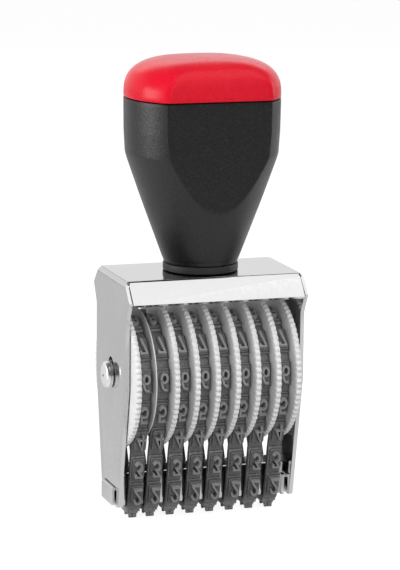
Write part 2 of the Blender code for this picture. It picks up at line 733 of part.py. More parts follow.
clear_scene()
PARTS = new_collection("band_numbering_stamp")
CUTTERS = new_collection("cutters")
METAL = material("plated_sheet", (0.80, 0.80, 0.80), 0.12, 1.0)
STEEL = material("bright_steel", (0.70, 0.70, 0.70), 0.25, 1.0)
BRASS = material("brass", (0.75, 0.58, 0.28), 0.30, 1.0)
WHEEL_PLASTIC = material("white_plastic", (0.90, 0.90, 0.88), 0.45)
RUBBER = material("grey_rubber", (0.16, 0.16, 0.165), 0.65)
BLACK_PLASTIC = material("black_plastic", (0.022, 0.022, 0.024), 0.50)
RING_PLASTIC = material("ring_plastic", (0.035, 0.035, 0.036), 0.62)
RED_PLASTIC = material("red_plastic", (0.72, 0.012, 0.035), 0.42)

make_frame()
make_foot()
make_axle()
make_washers()
make_wheels()
make_bands()
make_handle_screw()
make_handle()
make_cap()
for part in PARTS.objects:
    if part.type == "MESH" and len(part.data.polygons) > 0:
        smooth(part.data)
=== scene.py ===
"""Band numbering stamp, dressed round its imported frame.

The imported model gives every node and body. This script replaces or finishes each node, rides every
new piece on the body that it belongs to, and sets a plain studio round the stamp. All sizes are in
metres. +X runs along the wheel axle, -Y is the front and +Z is up.
"""

import logging
import math
from dataclasses import dataclass
from enum import Enum
from functools import cache
from typing import Iterable, Sequence

import bmesh
import bpy
from mathutils import Matrix, Vector


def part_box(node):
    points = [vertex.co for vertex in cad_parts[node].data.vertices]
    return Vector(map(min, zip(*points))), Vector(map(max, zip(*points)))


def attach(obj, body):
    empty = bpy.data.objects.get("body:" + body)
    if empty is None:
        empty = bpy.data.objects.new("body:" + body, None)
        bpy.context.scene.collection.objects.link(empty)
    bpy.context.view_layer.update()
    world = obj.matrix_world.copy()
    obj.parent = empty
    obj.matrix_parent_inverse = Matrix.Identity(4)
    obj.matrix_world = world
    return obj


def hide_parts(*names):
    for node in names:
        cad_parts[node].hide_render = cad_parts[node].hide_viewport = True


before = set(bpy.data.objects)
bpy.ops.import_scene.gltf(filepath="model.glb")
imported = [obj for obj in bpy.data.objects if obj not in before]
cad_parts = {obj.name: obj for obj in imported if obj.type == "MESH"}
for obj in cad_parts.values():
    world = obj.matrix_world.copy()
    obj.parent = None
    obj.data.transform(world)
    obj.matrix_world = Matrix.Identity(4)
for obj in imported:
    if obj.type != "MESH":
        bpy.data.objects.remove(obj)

LOG = logging.getLogger("stamp")
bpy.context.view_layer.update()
MM = 0.001
STAMP = "stamp"
AXLE_Z = 38.7 * MM
TINY = 0.001 * MM
SMOOTH_ANGLE = 35.0
FLAT_ANGLE = 0.6
EDGE_ANGLE = 28.0

Point = tuple[float, float]
Triple = tuple[float, float, float]
Socket = bpy.types.NodeSocket


# ---------------------------------------------------------------- node trees

@dataclass(frozen=True)
class Tree:
    """Short way to write a node tree: each node is added with the values of its inputs."""

    tree: bpy.types.NodeTree

    def put(self, value: object, socket: Socket) -> None:
        """Link a socket to an output, or set its value.

        Args:
            value: Output socket, or a plain value.
            socket: The input.
        """
        if isinstance(value, Socket):
            self.tree.links.new(value, socket)
        else:
            socket.default_value = value

    def add(self, kind: str, inputs: dict | None = None, **settings: object) -> bpy.types.Node:
        """Add a node.

        Args:
            kind: Blender's name of the node type.
            inputs: Value or output socket for each input, by name or number.
            settings: Properties of the node, set before its inputs.

        Returns:
            The new node.
        """
        node = self.tree.nodes.new(kind)
        for name, value in settings.items():
            setattr(node, name, value)
        for name, value in (inputs or {}).items():
            self.put(value, node.inputs[name])
        return node

    def first(self, kind: str, inputs: dict | None = None, **settings: object) -> Socket:
        """Add a node and give its first output."""
        return self.add(kind, inputs, **settings).outputs[0]

    def math(self, operation: str, *values: object, clamp: bool = False) -> Socket:
        """Add a Math node whose inputs are numbers or sockets, and give its output."""
        return self.first("ShaderNodeMath", dict(enumerate(values)), operation=operation, use_clamp=clamp)

    def noise(self, where: Socket, scale: object, detail: object, roughness: float = 0.5) -> Socket:
        """Add a noise texture, and give its values from 0 to 1."""
        values = {"Vector": where, "Scale": scale, "Detail": detail, "Roughness": roughness}
        return self.add("ShaderNodeTexNoise", values).outputs["Fac"]

    def blend(self, share: object, first: object, second: object) -> Socket:
        """Mix two colours; share says how much of the second one shows."""
        return self.add("ShaderNodeMix", {0: share, 6: first, 7: second}, data_type="RGBA").outputs[2]

    def spread(self, value: Socket, low: object, high: object, start: object = 0.0,
               end: object = 1.0) -> Socket:
        """Map a value from low to high onto start to end, and hold it there."""
        values = {"Value": value, "From Min": low, "From Max": high, "To Min": start, "To Max": end}
        return self.add("ShaderNodeMapRange", values).outputs["Result"]

    def rays(self) -> tuple[Socket, Socket]:
        """Give 1 for what the camera sees, also through glass, and 1 for what a gloss mirrors."""
        path = self.add("ShaderNodeLightPath").outputs
        return self.math("MAXIMUM", path["Is Camera Ray"], path["Is Transmission Ray"]), path["Is Glossy Ray"]


@dataclass(frozen=True)
class Group:
    """Node group under construction, with its input and output nodes."""

    tree: Tree
    source: bpy.types.Node
    result: bpy.types.Node

    def given(self, label: str) -> Socket:
        """Give an input of the group."""
        return self.source.outputs[label]

    def close(self, **values: object) -> bpy.types.NodeTree:
        """Link the group's outputs.

        Args:
            values: Socket for each output, by name.

        Returns:
            The finished group.
        """
        for label, value in values.items():
            self.tree.put(value, self.result.inputs[label])
        return self.tree.tree

    def close_shape(self, shape: Socket) -> bpy.types.NodeTree:
        """Make instances real, set the material and link the shape.

        Args:
            shape: Geometry with its instances.

        Returns:
            The finished group.
        """
        real = self.tree.first("GeometryNodeRealizeInstances", {0: shape})
        values = {"Geometry": real, "Material": self.given("Material")}
        return self.close(Geometry=self.tree.first("GeometryNodeSetMaterial", values))


def new_group(name: str, inputs: dict[str, object], outputs: Sequence[str],
              shapes: bool = False) -> Group:
    """Start a node group with named inputs and outputs.

    Args:
        name: Name of the group.
        inputs: Default of each input: a number, or the type of a socket without one.
        outputs: Names of the outputs.
        shapes: True for a geometry group, False for a shader group.

    Returns:
        The group under construction.
    """
    made = bpy.data.node_groups.new(name, "GeometryNodeTree" if shapes else "ShaderNodeTree")
    for label, default in inputs.items():
        if isinstance(default, str):
            made.interface.new_socket(label, in_out="INPUT", socket_type=default)
            continue
        kind = "NodeSocketInt" if isinstance(default, int) else "NodeSocketFloat"
        made.interface.new_socket(label, in_out="INPUT", socket_type=kind).default_value = default
    for label in outputs:
        kind = "NodeSocketGeometry" if shapes else "NodeSocketFloat"
        made.interface.new_socket(label, in_out="OUTPUT", socket_type=kind)
    tree = Tree(made)
    return Group(tree, tree.add("NodeGroupInput"), tree.add("NodeGroupOutput"))


def make_grain_group() -> bpy.types.NodeTree:
    """Build the shared grain: fine relief, and broad cloudy patches for colour and gloss.

    Returns:
        The shader node group.
    """
    inputs = {"Vector": "NodeSocketVector", "Fine Scale": 3000.0, "Broad Scale": 120.0, "Detail": 3.0}
    group = new_group("surface_grain", inputs, ("Height", "Patches"))
    where = group.given("Vector")
    height = group.tree.noise(where, group.given("Fine Scale"), group.given("Detail"), 0.6)
    patches = group.tree.noise(where, group.given("Broad Scale"), 4.0, 0.55)
    return group.close(Height=height, Patches=group.tree.spread(patches, 0.3, 0.7))


def make_worn_and_lit_edge_group() -> bpy.types.NodeTree:
    """Build the shared edge mask: sharp edges, broken up by noise, for edge wear and a painted highlight
    along them.

    Returns:
        The shader node group.
    """
    inputs = {"Vector": "NodeSocketVector", "Start": 0.52, "End": 0.60, "Breakup Scale": 900.0}
    group = new_group("edge_wear", inputs, ("Mask",))
    tree = group.tree
    pointed = tree.add("ShaderNodeNewGeometry").outputs["Pointiness"]
    edge = tree.spread(pointed, group.given("Start"), group.given("End"))
    noise = tree.noise(group.given("Vector"), group.given("Breakup Scale"), 2.0)
    broken = tree.spread(noise, 0.35, 0.65, 0.35)
    return group.close(Mask=tree.math("MULTIPLY", edge, broken, clamp=True))


def make_dust_group() -> bpy.types.NodeTree:
    """Build the shared dust: a thin veil on faces that look up, thicker in patches.

    Returns:
        The shader node group.
    """
    inputs = {"Vector": "NodeSocketVector", "Amount": 0.1, "Scale": 260.0}
    group = new_group("settled_dust", inputs, ("Mask",))
    tree = group.tree
    normal = tree.add("ShaderNodeNewGeometry").outputs["Normal"]
    upward = tree.add("ShaderNodeSeparateXYZ", {0: normal}).outputs["Z"]
    facing = tree.spread(upward, 0.2, 1.0, 0.15)
    patches = tree.spread(tree.noise(group.given("Vector"), group.given("Scale"), 5.0), 0.35, 0.75, 0.2)
    veil = tree.math("MULTIPLY", facing, patches)
    return group.close(Mask=tree.math("MULTIPLY", veil, group.given("Amount")))


GRAIN = make_grain_group()
WORN_AND_LIT_EDGES = make_worn_and_lit_edge_group()
DUST = make_dust_group()


# ---------------------------------------------------------------- finishes

class Slot(Enum):
    """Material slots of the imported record."""

    PLATED_SHEET = "plated_sheet"
    BRIGHT_STEEL = "bright_steel"
    BRASS = "brass"
    WHITE_PLASTIC = "white_plastic"
    GREY_RUBBER = "grey_rubber"
    RING_PLASTIC = "ring_plastic"
    BLACK_PLASTIC = "black_plastic"
    RED_PLASTIC = "red_plastic"


@dataclass(frozen=True)
class Coat:
    """What a finish works on: node tree, shader, object coordinates and grain."""

    tree: Tree
    shader: bpy.types.Node
    where: Socket
    height: Socket
    patches: Socket

    def put(self, label: str, value: object) -> None:
        """Set an input of the shader."""
        self.tree.put(value, self.shader.inputs[label])

    def mask(self, which: bpy.types.NodeTree, values: dict[str, float]) -> Socket:
        """Place a shared mask group with these inputs, and give its mask."""
        inputs = {"Vector": self.where, **values}
        return self.tree.add("ShaderNodeGroup", inputs, node_tree=which).outputs["Mask"]

    def lines(self, scale: float, detail: float, stretch: Triple) -> Socket:
        """Noise drawn out into fine lines, by a small scale along them."""
        drawn = self.tree.first("ShaderNodeMapping", {"Vector": self.where, "Scale": stretch})
        return self.tree.noise(drawn, scale, detail)


@dataclass(frozen=True)
class Finish:
    """Base of every finish: a Principled surface with grain."""

    slot: Slot
    color: Triple
    roughness: float
    grain_scale: float = 3000.0
    patch_scale: float = 120.0
    relief: float = 0.1
    relief_depth: float = 0.02 * MM
    uneven: Point = (0.06, 0.06)
    pattern_range: Point = (0.0, 1.0)
    drift: Point = (1.0, 1.0)
    worn_and_lit_range: Point = (0.52, 0.60)
    worn_and_lit_scale: float = 900.0
    dust: float = 0.02
    dust_scale: float = 260.0
    dust_color: Triple = (0.62, 0.60, 0.57)

    def shade(self, coat: Coat) -> None:
        """Add what is special to this finish.

        Args:
            coat: What the finish works on.
        """

    def tint(self, factor: float, lift: float = 0.0) -> tuple[float, float, float, float]:
        """Give the colour with a factor and an amount added to it, and full alpha."""
        red, green, blue = (min(1.0, channel * factor + lift) for channel in self.color)
        return red, green, blue, 1.0

    def cloudy(self, coat: Coat) -> Socket:
        """Let the colour drift from patch to patch, between two factors on it."""
        return coat.tree.blend(coat.patches, *(self.tint(factor) for factor in self.drift))

    def gloss(self, coat: Coat, pattern: Socket) -> Socket:
        """Roughness that follows a pattern, from a little less to a little more."""
        less, more = self.uneven
        return coat.tree.spread(pattern, *self.pattern_range, self.roughness - less, self.roughness + more)

    def worn_and_highlit(self, coat: Coat, color: Socket, edge: Sequence[float]) -> Socket:
        """Show another colour on sharp edges: partly wear, partly a painted highlight along them.

        Args:
            coat: What the finish works on.
            color: Colour of the faces.
            edge: Colour of the edges.

        Returns:
            The colour with its edges.
        """
        start, end = self.worn_and_lit_range
        values = {"Start": start, "End": end, "Breakup Scale": self.worn_and_lit_scale}
        # Sharp edges turn lighter here: partly wear, partly a painted highlight along the edges.
        return coat.tree.blend(coat.mask(WORN_AND_LIT_EDGES, values), color, edge)

    def dusted(self, coat: Coat, color: Socket) -> Socket:
        """Lay dust over a colour, on faces that look up."""
        dust = coat.mask(DUST, {"Amount": self.dust, "Scale": self.dust_scale})
        return coat.tree.blend(dust, color, (*self.dust_color, 1.0))

    def build(self) -> bpy.types.Material:
        """Build the material.

        Returns:
            The finished material.
        """
        made = bpy.data.materials.new(self.slot.value)
        made.use_nodes = True
        made.diffuse_color = (*self.color, 1.0)
        tree = Tree(made.node_tree)
        where = tree.add("ShaderNodeTexCoord").outputs["Object"]
        values = {"Vector": where, "Fine Scale": self.grain_scale, "Broad Scale": self.patch_scale}
        grain = tree.add("ShaderNodeGroup", values, node_tree=GRAIN).outputs
        coat = Coat(tree, made.node_tree.nodes["Principled BSDF"], where, grain["Height"], grain["Patches"])
        coat.put("Base Color", (*self.color, 1.0))
        coat.put("Roughness", self.roughness)
        bump = {"Height": coat.height, "Strength": self.relief, "Distance": self.relief_depth}
        coat.put("Normal", tree.add("ShaderNodeBump", bump).outputs["Normal"])
        self.shade(coat)
        return made


@dataclass(frozen=True)
class PlatedSheet(Finish):
    """Bright plate on rolled sheet, with faint rolling lines, handling smudges, and lighter edges that are
    partly wear, partly a painted highlight.
    """

    uneven: Point = (0.02, 0.02)
    pattern_range: Point = (0.3, 0.7)
    drift: Point = (1.0, 0.955)
    worn_and_lit_range: Point = (0.54, 0.66)
    line_scale: float = 1400.0
    line_detail: float = 2.0
    line_stretch: Triple = (0.04, 1.0, 1.0)
    smudge: float = 0.05
    worn_and_lit_factor: float = 1.12

    def shade(self, coat: Coat) -> None:
        """Add rolling lines, smudges, a slightly uneven gloss, and lighter edges: partly wear, partly a
        painted highlight.

        Args:
            coat: What the finish works on.
        """
        coat.put("Metallic", 1.0)
        rolled = self.gloss(coat, coat.lines(self.line_scale, self.line_detail, self.line_stretch))
        smudged = coat.tree.math("MULTIPLY", coat.patches, self.smudge)
        coat.put("Roughness", coat.tree.math("ADD", rolled, smudged, clamp=True))
        # Lighter edges: partly wear, partly a painted highlight on the sheet's edges.
        coat.put("Base Color", self.worn_and_highlit(coat, self.cloudy(coat), self.tint(self.worn_and_lit_factor)))


@dataclass(frozen=True)
class TurnedMetal(Finish):
    """Turned metal with fine rings round the local axle line."""

    uneven: Point = (0.05, 0.08)
    pattern_range: Point = (0.3, 0.7)
    drift: Point = (1.0, 0.88)
    ring_scale: float = 5200.0
    ring_detail: float = 1.0
    ring_stretch: Triple = (1.0, 0.06, 1.0)

    def shade(self, coat: Coat) -> None:
        """Add turning marks and slightly darker patches.

        Args:
            coat: What the finish works on.
        """
        coat.put("Metallic", 1.0)
        marks = coat.lines(self.ring_scale, self.ring_detail, self.ring_stretch)
        coat.put("Roughness", self.gloss(coat, marks))
        coat.put("Base Color", self.cloudy(coat))


@dataclass(frozen=True)
class MouldedPlastic(Finish):
    """Moulded plastic with spark-eroded texture, edges lighter from wear and a painted highlight, and a
    little dust.
    """

    drift: Point = (0.96, 1.04)
    worn_and_lit_lift: float = 0.02
    worn_and_lit_factor: float = 1.15
    soft_light: float = 0.0
    soft_reach: float = 1.0 * MM
    gloss_level: float = 0.5
    speckle: float = 0.0
    speckle_range: Point = (0.50, 0.68)

    def shade(self, coat: Coat) -> None:
        """Add uneven gloss, speckle, lighter edges (partly wear, partly a painted highlight) and dust.

        Args:
            coat: What the finish works on.
        """
        coat.put("Roughness", self.gloss(coat, coat.patches))
        tips = coat.tree.spread(coat.height, *self.speckle_range)
        speckled = coat.tree.blend(tips, self.cloudy(coat), self.tint(self.drift[1], self.speckle))
        # Lighter edges: partly wear, partly a painted highlight along the edges.
        worn_and_highlit = self.worn_and_highlit(coat, speckled, self.tint(self.worn_and_lit_factor, self.worn_and_lit_lift))
        coat.put("Base Color", self.dusted(coat, worn_and_highlit))
        coat.put("Specular IOR Level", self.gloss_level)
        if self.soft_light:
            coat.put("Subsurface Weight", self.soft_light)
            coat.put("Subsurface Scale", self.soft_reach)
            coat.put("Subsurface Radius", (1.0, 1.0, 1.0))


@dataclass(frozen=True)
class BandRubber(Finish):
    """Grey rubber, matt, with a bloom in patches, lighter edges and type faces (partly wear, partly painted
    light) and painted shade in recesses.
    """

    uneven: Point = (0.07, 0.07)
    drift: Point = (0.90, 1.08)
    worn_and_lit_range: Point = (0.51, 0.57)
    worn_and_lit_scale: float = 1500.0
    dust: float = 0.05
    dust_scale: float = 420.0
    dust_color: Triple = (0.55, 0.55, 0.55)
    gloss_level: float = 0.38
    worn_and_lit_color: Triple = (0.34, 0.34, 0.35)
    type_light_range: Point = (0.45, 0.95)
    type_light_lift: float = 2.0
    shade_reach: float = 0.8 * MM
    shade_range: Point = (0.35, 0.85)
    shade_strength: float = 0.85
    shade_tint: float = 0.12

    def shade(self, coat: Coat) -> None:
        """Add type lighter towards its faces and lighter edges (both partly wear, partly painted light),
        bloom, painted shade in recesses and a soft sheen.

        Args:
            coat: What the finish works on.
        """
        tree = coat.tree
        # The type is painted lighter towards its top faces: partly wear on the faces, partly painted light
        # where the type stands out.
        raised = tree.add("ShaderNodeAttribute", attribute_name="relief").outputs["Fac"]
        type_worn_and_lit = tree.blend(tree.spread(raised, *self.type_light_range), self.cloudy(coat),
                             self.tint(self.type_light_lift))
        # Lighter edges: partly wear, partly a painted highlight along the block and type edges.
        bloomed = self.dusted(coat, self.worn_and_highlit(coat, type_worn_and_lit, (*self.worn_and_lit_color, 1.0)))
        # Painted shade: the rubber is darkened where ambient occlusion finds recesses, inside and round the
        # type and blocks.
        corner = tree.add("ShaderNodeAmbientOcclusion", {"Distance": self.shade_reach}, samples=8)
        recess = tree.spread(corner.outputs["AO"], *self.shade_range, self.shade_strength, 0.0)
        coat.put("Base Color", tree.blend(recess, bloomed, self.tint(self.shade_tint)))
        coat.put("Roughness", self.gloss(coat, coat.patches))
        coat.put("Specular IOR Level", self.gloss_level)


PLATED_SHEET = PlatedSheet(Slot.PLATED_SHEET, (0.57, 0.57, 0.575), 0.07, 900.0, 70.0, 0.03)
BRIGHT_STEEL = TurnedMetal(Slot.BRIGHT_STEEL, (0.93, 0.93, 0.925), 0.34, 2600.0, 300.0, 0.10)
BRASS = TurnedMetal(Slot.BRASS, (0.75, 0.58, 0.28), 0.26, 2600.0, 300.0, 0.10)
WHITE_PLASTIC = MouldedPlastic(Slot.WHITE_PLASTIC, (0.92, 0.92, 0.912), 0.42, 2200.0, 160.0, 0.05,
                               worn_and_lit_lift=0.03, dust=0.02, soft_light=0.10)
GREY_RUBBER = BandRubber(Slot.GREY_RUBBER, (0.128, 0.128, 0.131), 0.58, 2600.0, 330.0, 0.22, 0.03 * MM)
RING_PLASTIC = MouldedPlastic(Slot.RING_PLASTIC, (0.024, 0.024, 0.025), 0.50, 3000.0, 200.0, 0.25,
                              worn_and_lit_lift=0.008, dust=0.006, gloss_level=0.40)
BLACK_PLASTIC = MouldedPlastic(Slot.BLACK_PLASTIC, (0.0070, 0.0070, 0.0073), 0.33, 2500.0, 90.0, 1.0,
                               0.075 * MM, worn_and_lit_lift=0.003, dust=0.002, gloss_level=0.43, speckle=0.014)
RED_PLASTIC = MouldedPlastic(Slot.RED_PLASTIC, (0.86, 0.006, 0.027), 0.26, 2100.0, 90.0, 0.60,
                             0.04 * MM, uneven=(0.03, 0.03), worn_and_lit_lift=0.005, dust=0.002, gloss_level=0.19,
                             speckle=0.012)


@cache
def material_of(finish: Finish) -> bpy.types.Material:
    """Build a finish's material once, and give the same one from then on."""
    return finish.build()


# ---------------------------------------------------------------- mesh helpers

def rounded(corners: Sequence[Point], radii: float | Sequence[float], steps: int = 4,
            closed: bool = True) -> list[Point]:
    """Round the corners of an outline.

    Args:
        corners: Points of the outline.
        radii: One radius, or one for each corner.
        steps: Segments of each round.
        closed: False for a line, whose two ends stay.

    Returns:
        The rounded outline.
    """
    each = [radii] * len(corners) if isinstance(radii, (int, float)) else list(radii)
    outline: list[Point] = []
    last = len(corners) - 1
    for i, corner in enumerate(corners):
        here = Vector(corner)
        if each[i] == 0 or (not closed and i in (0, last)):
            outline.append(tuple(here))
            continue
        before = (Vector(corners[i - 1]) - here).normalized()
        after = (Vector(corners[(i + 1) % len(corners)]) - here).normalized()
        half = math.acos(max(-1.0, min(1.0, before.dot(after)))) / 2
        reach = each[i] / math.tan(half)
        middle = here + (before + after).normalized() * (each[i] / math.sin(half))
        first, final = here + before * reach - middle, here + after * reach - middle
        start = math.atan2(first.y, first.x)
        turn = (math.atan2(final.y, final.x) - start + math.pi) % (2 * math.pi) - math.pi
        for step in range(steps + 1):
            angle = start + turn * step / steps
            outline.append((middle.x + each[i] * math.cos(angle), middle.y + each[i] * math.sin(angle)))
    return outline


def finish_mesh(name: str, shape: bmesh.types.BMesh, sharp: float = SMOOTH_ANGLE) -> bpy.types.Mesh:
    """Merge doubles, turn the faces outwards and shade a mesh.

    Args:
        name: Name of the mesh.
        shape: The shape, which is freed.
        sharp: Angle in degrees past which an edge is shaded sharp.

    Returns:
        The mesh.
    """
    bmesh.ops.remove_doubles(shape, verts=shape.verts, dist=0.5 * TINY)
    bmesh.ops.recalc_face_normals(shape, faces=shape.faces)
    mesh = bpy.data.meshes.new(name)
    shape.to_mesh(mesh)
    shape.free()
    mesh.shade_smooth()
    mesh.set_sharp_from_angle(angle=math.radians(sharp))
    return mesh


def stack_rings(rings: Sequence[Sequence[Vector]], closed: bool = False,
                shape: bmesh.types.BMesh | None = None, capped: bool = False) -> bmesh.types.BMesh:
    """Skin a stack of rings; a ring of one point closes an end.

    Args:
        rings: Rings with the same number of points, or single points at the ends.
        closed: True when the last ring joins the first.
        shape: Shape that the skin is added to, or None for a new one.
        capped: True to put a face on the first and on the last ring.

    Returns:
        The skinned shape.
    """
    shape = shape or bmesh.new()
    rows = [[shape.verts.new(point) for point in ring] for ring in rings]
    for lower, upper in zip(rows, rows[1:] + rows[:1] if closed else rows[1:]):
        count = max(len(lower), len(upper))
        for i in range(count):
            j = (i + 1) % count
            if len(lower) == 1:
                shape.faces.new((lower[0], upper[j], upper[i]))
            elif len(upper) == 1:
                shape.faces.new((lower[i], lower[j], upper[0]))
            else:
                shape.faces.new((lower[i], lower[j], upper[j], upper[i]))
    if capped:
        shape.faces.new(rows[0])
        shape.faces.new(rows[-1][::-1])
    return shape


def turned(name: str, profile: Sequence[Point], steps: int, along_x: bool = False,
           origin: Sequence[float] = (0, 0, 0)) -> bpy.types.Mesh:
    """Turn a profile of (radius, height) points about an axis.

    Args:
        name: Name of the mesh.
        profile: Closed profile, or one whose two ends are on the axis.
        steps: Steps of the turn.
        along_x: True to turn about X, and not about Z.
        origin: Point on the axis where the height is zero.

    Returns:
        The mesh.
    """
    start = Vector(origin)
    rings = []
    for radius, height in profile:
        count = 1 if radius < TINY else steps
        ring = []
        for i in range(count):
            angle = 2 * math.pi * i / steps
            side, rise = radius * math.cos(angle), radius * math.sin(angle)
            ring.append(start + (Vector((height, side, rise)) if along_x else Vector((side, rise, height))))
        rings.append(ring)
    return finish_mesh(name, stack_rings(rings, closed=len(rings[0]) > 1))


def put_in_scene(name: str, data: bpy.types.ID) -> bpy.types.Object:
    """Put a mesh, lamp or camera in the scene.

    Args:
        name: Name of the object.
        data: Its data.

    Returns:
        The object.
    """
    item = bpy.data.objects.new(name, data)
    bpy.context.scene.collection.objects.link(item)
    return item


def baked(name: str, item: bpy.types.Object, *spent: bpy.types.Object) -> bpy.types.Mesh:
    """Take the plain mesh that an object's modifiers make, and remove what it was made from.

    Args:
        name: Name of the mesh.
        item: The object.
        spent: Other objects that are used up.

    Returns:
        The mesh.
    """
    bpy.context.view_layer.update()
    graph = bpy.context.evaluated_depsgraph_get()
    mesh = bpy.data.meshes.new_from_object(item.evaluated_get(graph))
    for used in (item, *spent):
        bpy.data.objects.remove(used, do_unlink=True)
    mesh.name = name
    return mesh


def cut_away(item: bpy.types.Object, cutter: bpy.types.Mesh, crossed: bool = False) -> bpy.types.Object:
    """Cut a shape out of an object.

    Args:
        item: The object.
        cutter: The shape.
        crossed: True when parts of the shape cross each other.

    Returns:
        The cutter's object, which is spent when the cut is baked.
    """
    blade = put_in_scene(cutter.name, cutter)
    cut = item.modifiers.new("cut", "BOOLEAN")
    cut.operation, cut.solver, cut.use_self, cut.object = "DIFFERENCE", "EXACT", crossed, blade
    return blade


def softened_copy(name: str, node: str, width: float, cutter: bpy.types.Mesh | None = None) -> bpy.types.Mesh:
    """Copy a CAD node, merge its faces and round its edges.

    Args:
        name: Name of the copy.
        node: Name of the node.
        width: Width of the rounding.
        cutter: Shape that is cut away before the edges are rounded.

    Returns:
        The softened mesh.
    """
    shape = bmesh.new()
    shape.from_mesh(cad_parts[node].data)
    bmesh.ops.remove_doubles(shape, verts=shape.verts, dist=TINY)
    bmesh.ops.dissolve_limit(shape, angle_limit=math.radians(FLAT_ANGLE), verts=shape.verts,
                             edges=shape.edges)
    item = put_in_scene(node + "_draft", finish_mesh(node + "_draft", shape))
    spent = [cut_away(item, cutter)] if cutter else []
    bevel = item.modifiers.new("edges", "BEVEL")
    bevel.width, bevel.segments = width, 2
    bevel.limit_method, bevel.angle_limit = "ANGLE", math.radians(EDGE_ANGLE)
    even = item.modifiers.new("normals", "WEIGHTED_NORMAL")
    even.weight, even.keep_sharp = 100, True
    return baked(name, item, *spent)


def moved(mesh: bpy.types.Mesh, matrix: Matrix, name: str) -> bpy.types.Mesh:
    """Copy a mesh to another place.

    Args:
        mesh: The mesh to copy.
        matrix: Where the copy goes.
        name: Name of the copy.

    Returns:
        The copy.
    """
    copy = mesh.copy()
    copy.name = name
    copy.transform(matrix)
    return copy


def add_piece(mesh: bpy.types.Mesh, finish: Finish, *nodes: str, body: str = STAMP) -> None:
    """Put a finished piece in the scene, on its body and in place of its CAD nodes.

    Args:
        mesh: Its mesh, in place, which gives the piece its name.
        finish: Its finish.
        nodes: CAD nodes that it stands for.
        body: Name of the body that it rides on.
    """
    mesh.materials.clear()
    mesh.materials.append(material_of(finish))
    piece = put_in_scene(mesh.name, mesh)
    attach(piece, body)
    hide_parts(*nodes)
    LOG.info("%s: %d faces on %s", mesh.name, len(mesh.polygons), body)


def keep_node(node: str, finish: Finish) -> None:
    """Keep a CAD node as it is, with a better material.

    Args:
        node: Name of the node.
        finish: Its finish.
    """
    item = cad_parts[node]
    item.data.materials.clear()
    item.data.materials.append(material_of(finish))
    LOG.info("%s: kept", node)


def add_nodes(item: bpy.types.Object, group: bpy.types.NodeTree, values: dict[str, object]) -> None:
    """Add a Geometry Nodes modifier, and set its inputs by the identifiers of their sockets.

    Args:
        item: The object that gets the modifier.
        group: The geometry node group.
        values: Value of each input, by name.
    """
    modifier = item.modifiers.new(group.name, "NODES")
    modifier.node_group = group
    for socket in group.interface.items_tree:
        if socket.in_out == "INPUT" and socket.name in values:
            modifier[socket.identifier] = values[socket.name]


# ---------------------------------------------------------------- frame and foot

@dataclass
class SheetFrame:
    """Bent sheet frame, and the foot that the bands run round."""

    edge: float = 0.11 * MM
    foot_edge: float = 0.07 * MM
    relief_radius: float = 0.42 * MM
    relief_length: float = 5.0 * MM
    relief_lean: float = math.radians(35)
    relief_place: Triple = (23.45 * MM, 12.25 * MM, 65.1 * MM)
    relief_steps: int = 20

    def reliefs(self) -> bpy.types.Mesh:
        """Round bend reliefs at the tops of the seams beside the lips.

        Returns:
            Four pins to cut away.
        """
        shape = bmesh.new()
        across, depth, height = self.relief_place
        for side in (-1, 1):
            for front in (-1, 1):
                lean = Matrix.Rotation(-front * self.relief_lean, 4, "X")
                place = Matrix.Translation((side * across, front * depth, height)) @ lean
                bmesh.ops.create_cone(shape, cap_ends=True, segments=self.relief_steps,
                                      radius1=self.relief_radius, radius2=self.relief_radius,
                                      depth=self.relief_length, matrix=place)
        return finish_mesh("bend_reliefs", shape)

    def build(self) -> None:
        """Build and dress the frame and the foot."""
        add_piece(softened_copy("sheet_frame", "frame", self.edge, self.reliefs()), PLATED_SHEET, "frame")
        add_piece(softened_copy("band_foot", "print_foot", self.foot_edge), PLATED_SHEET, "print_foot")


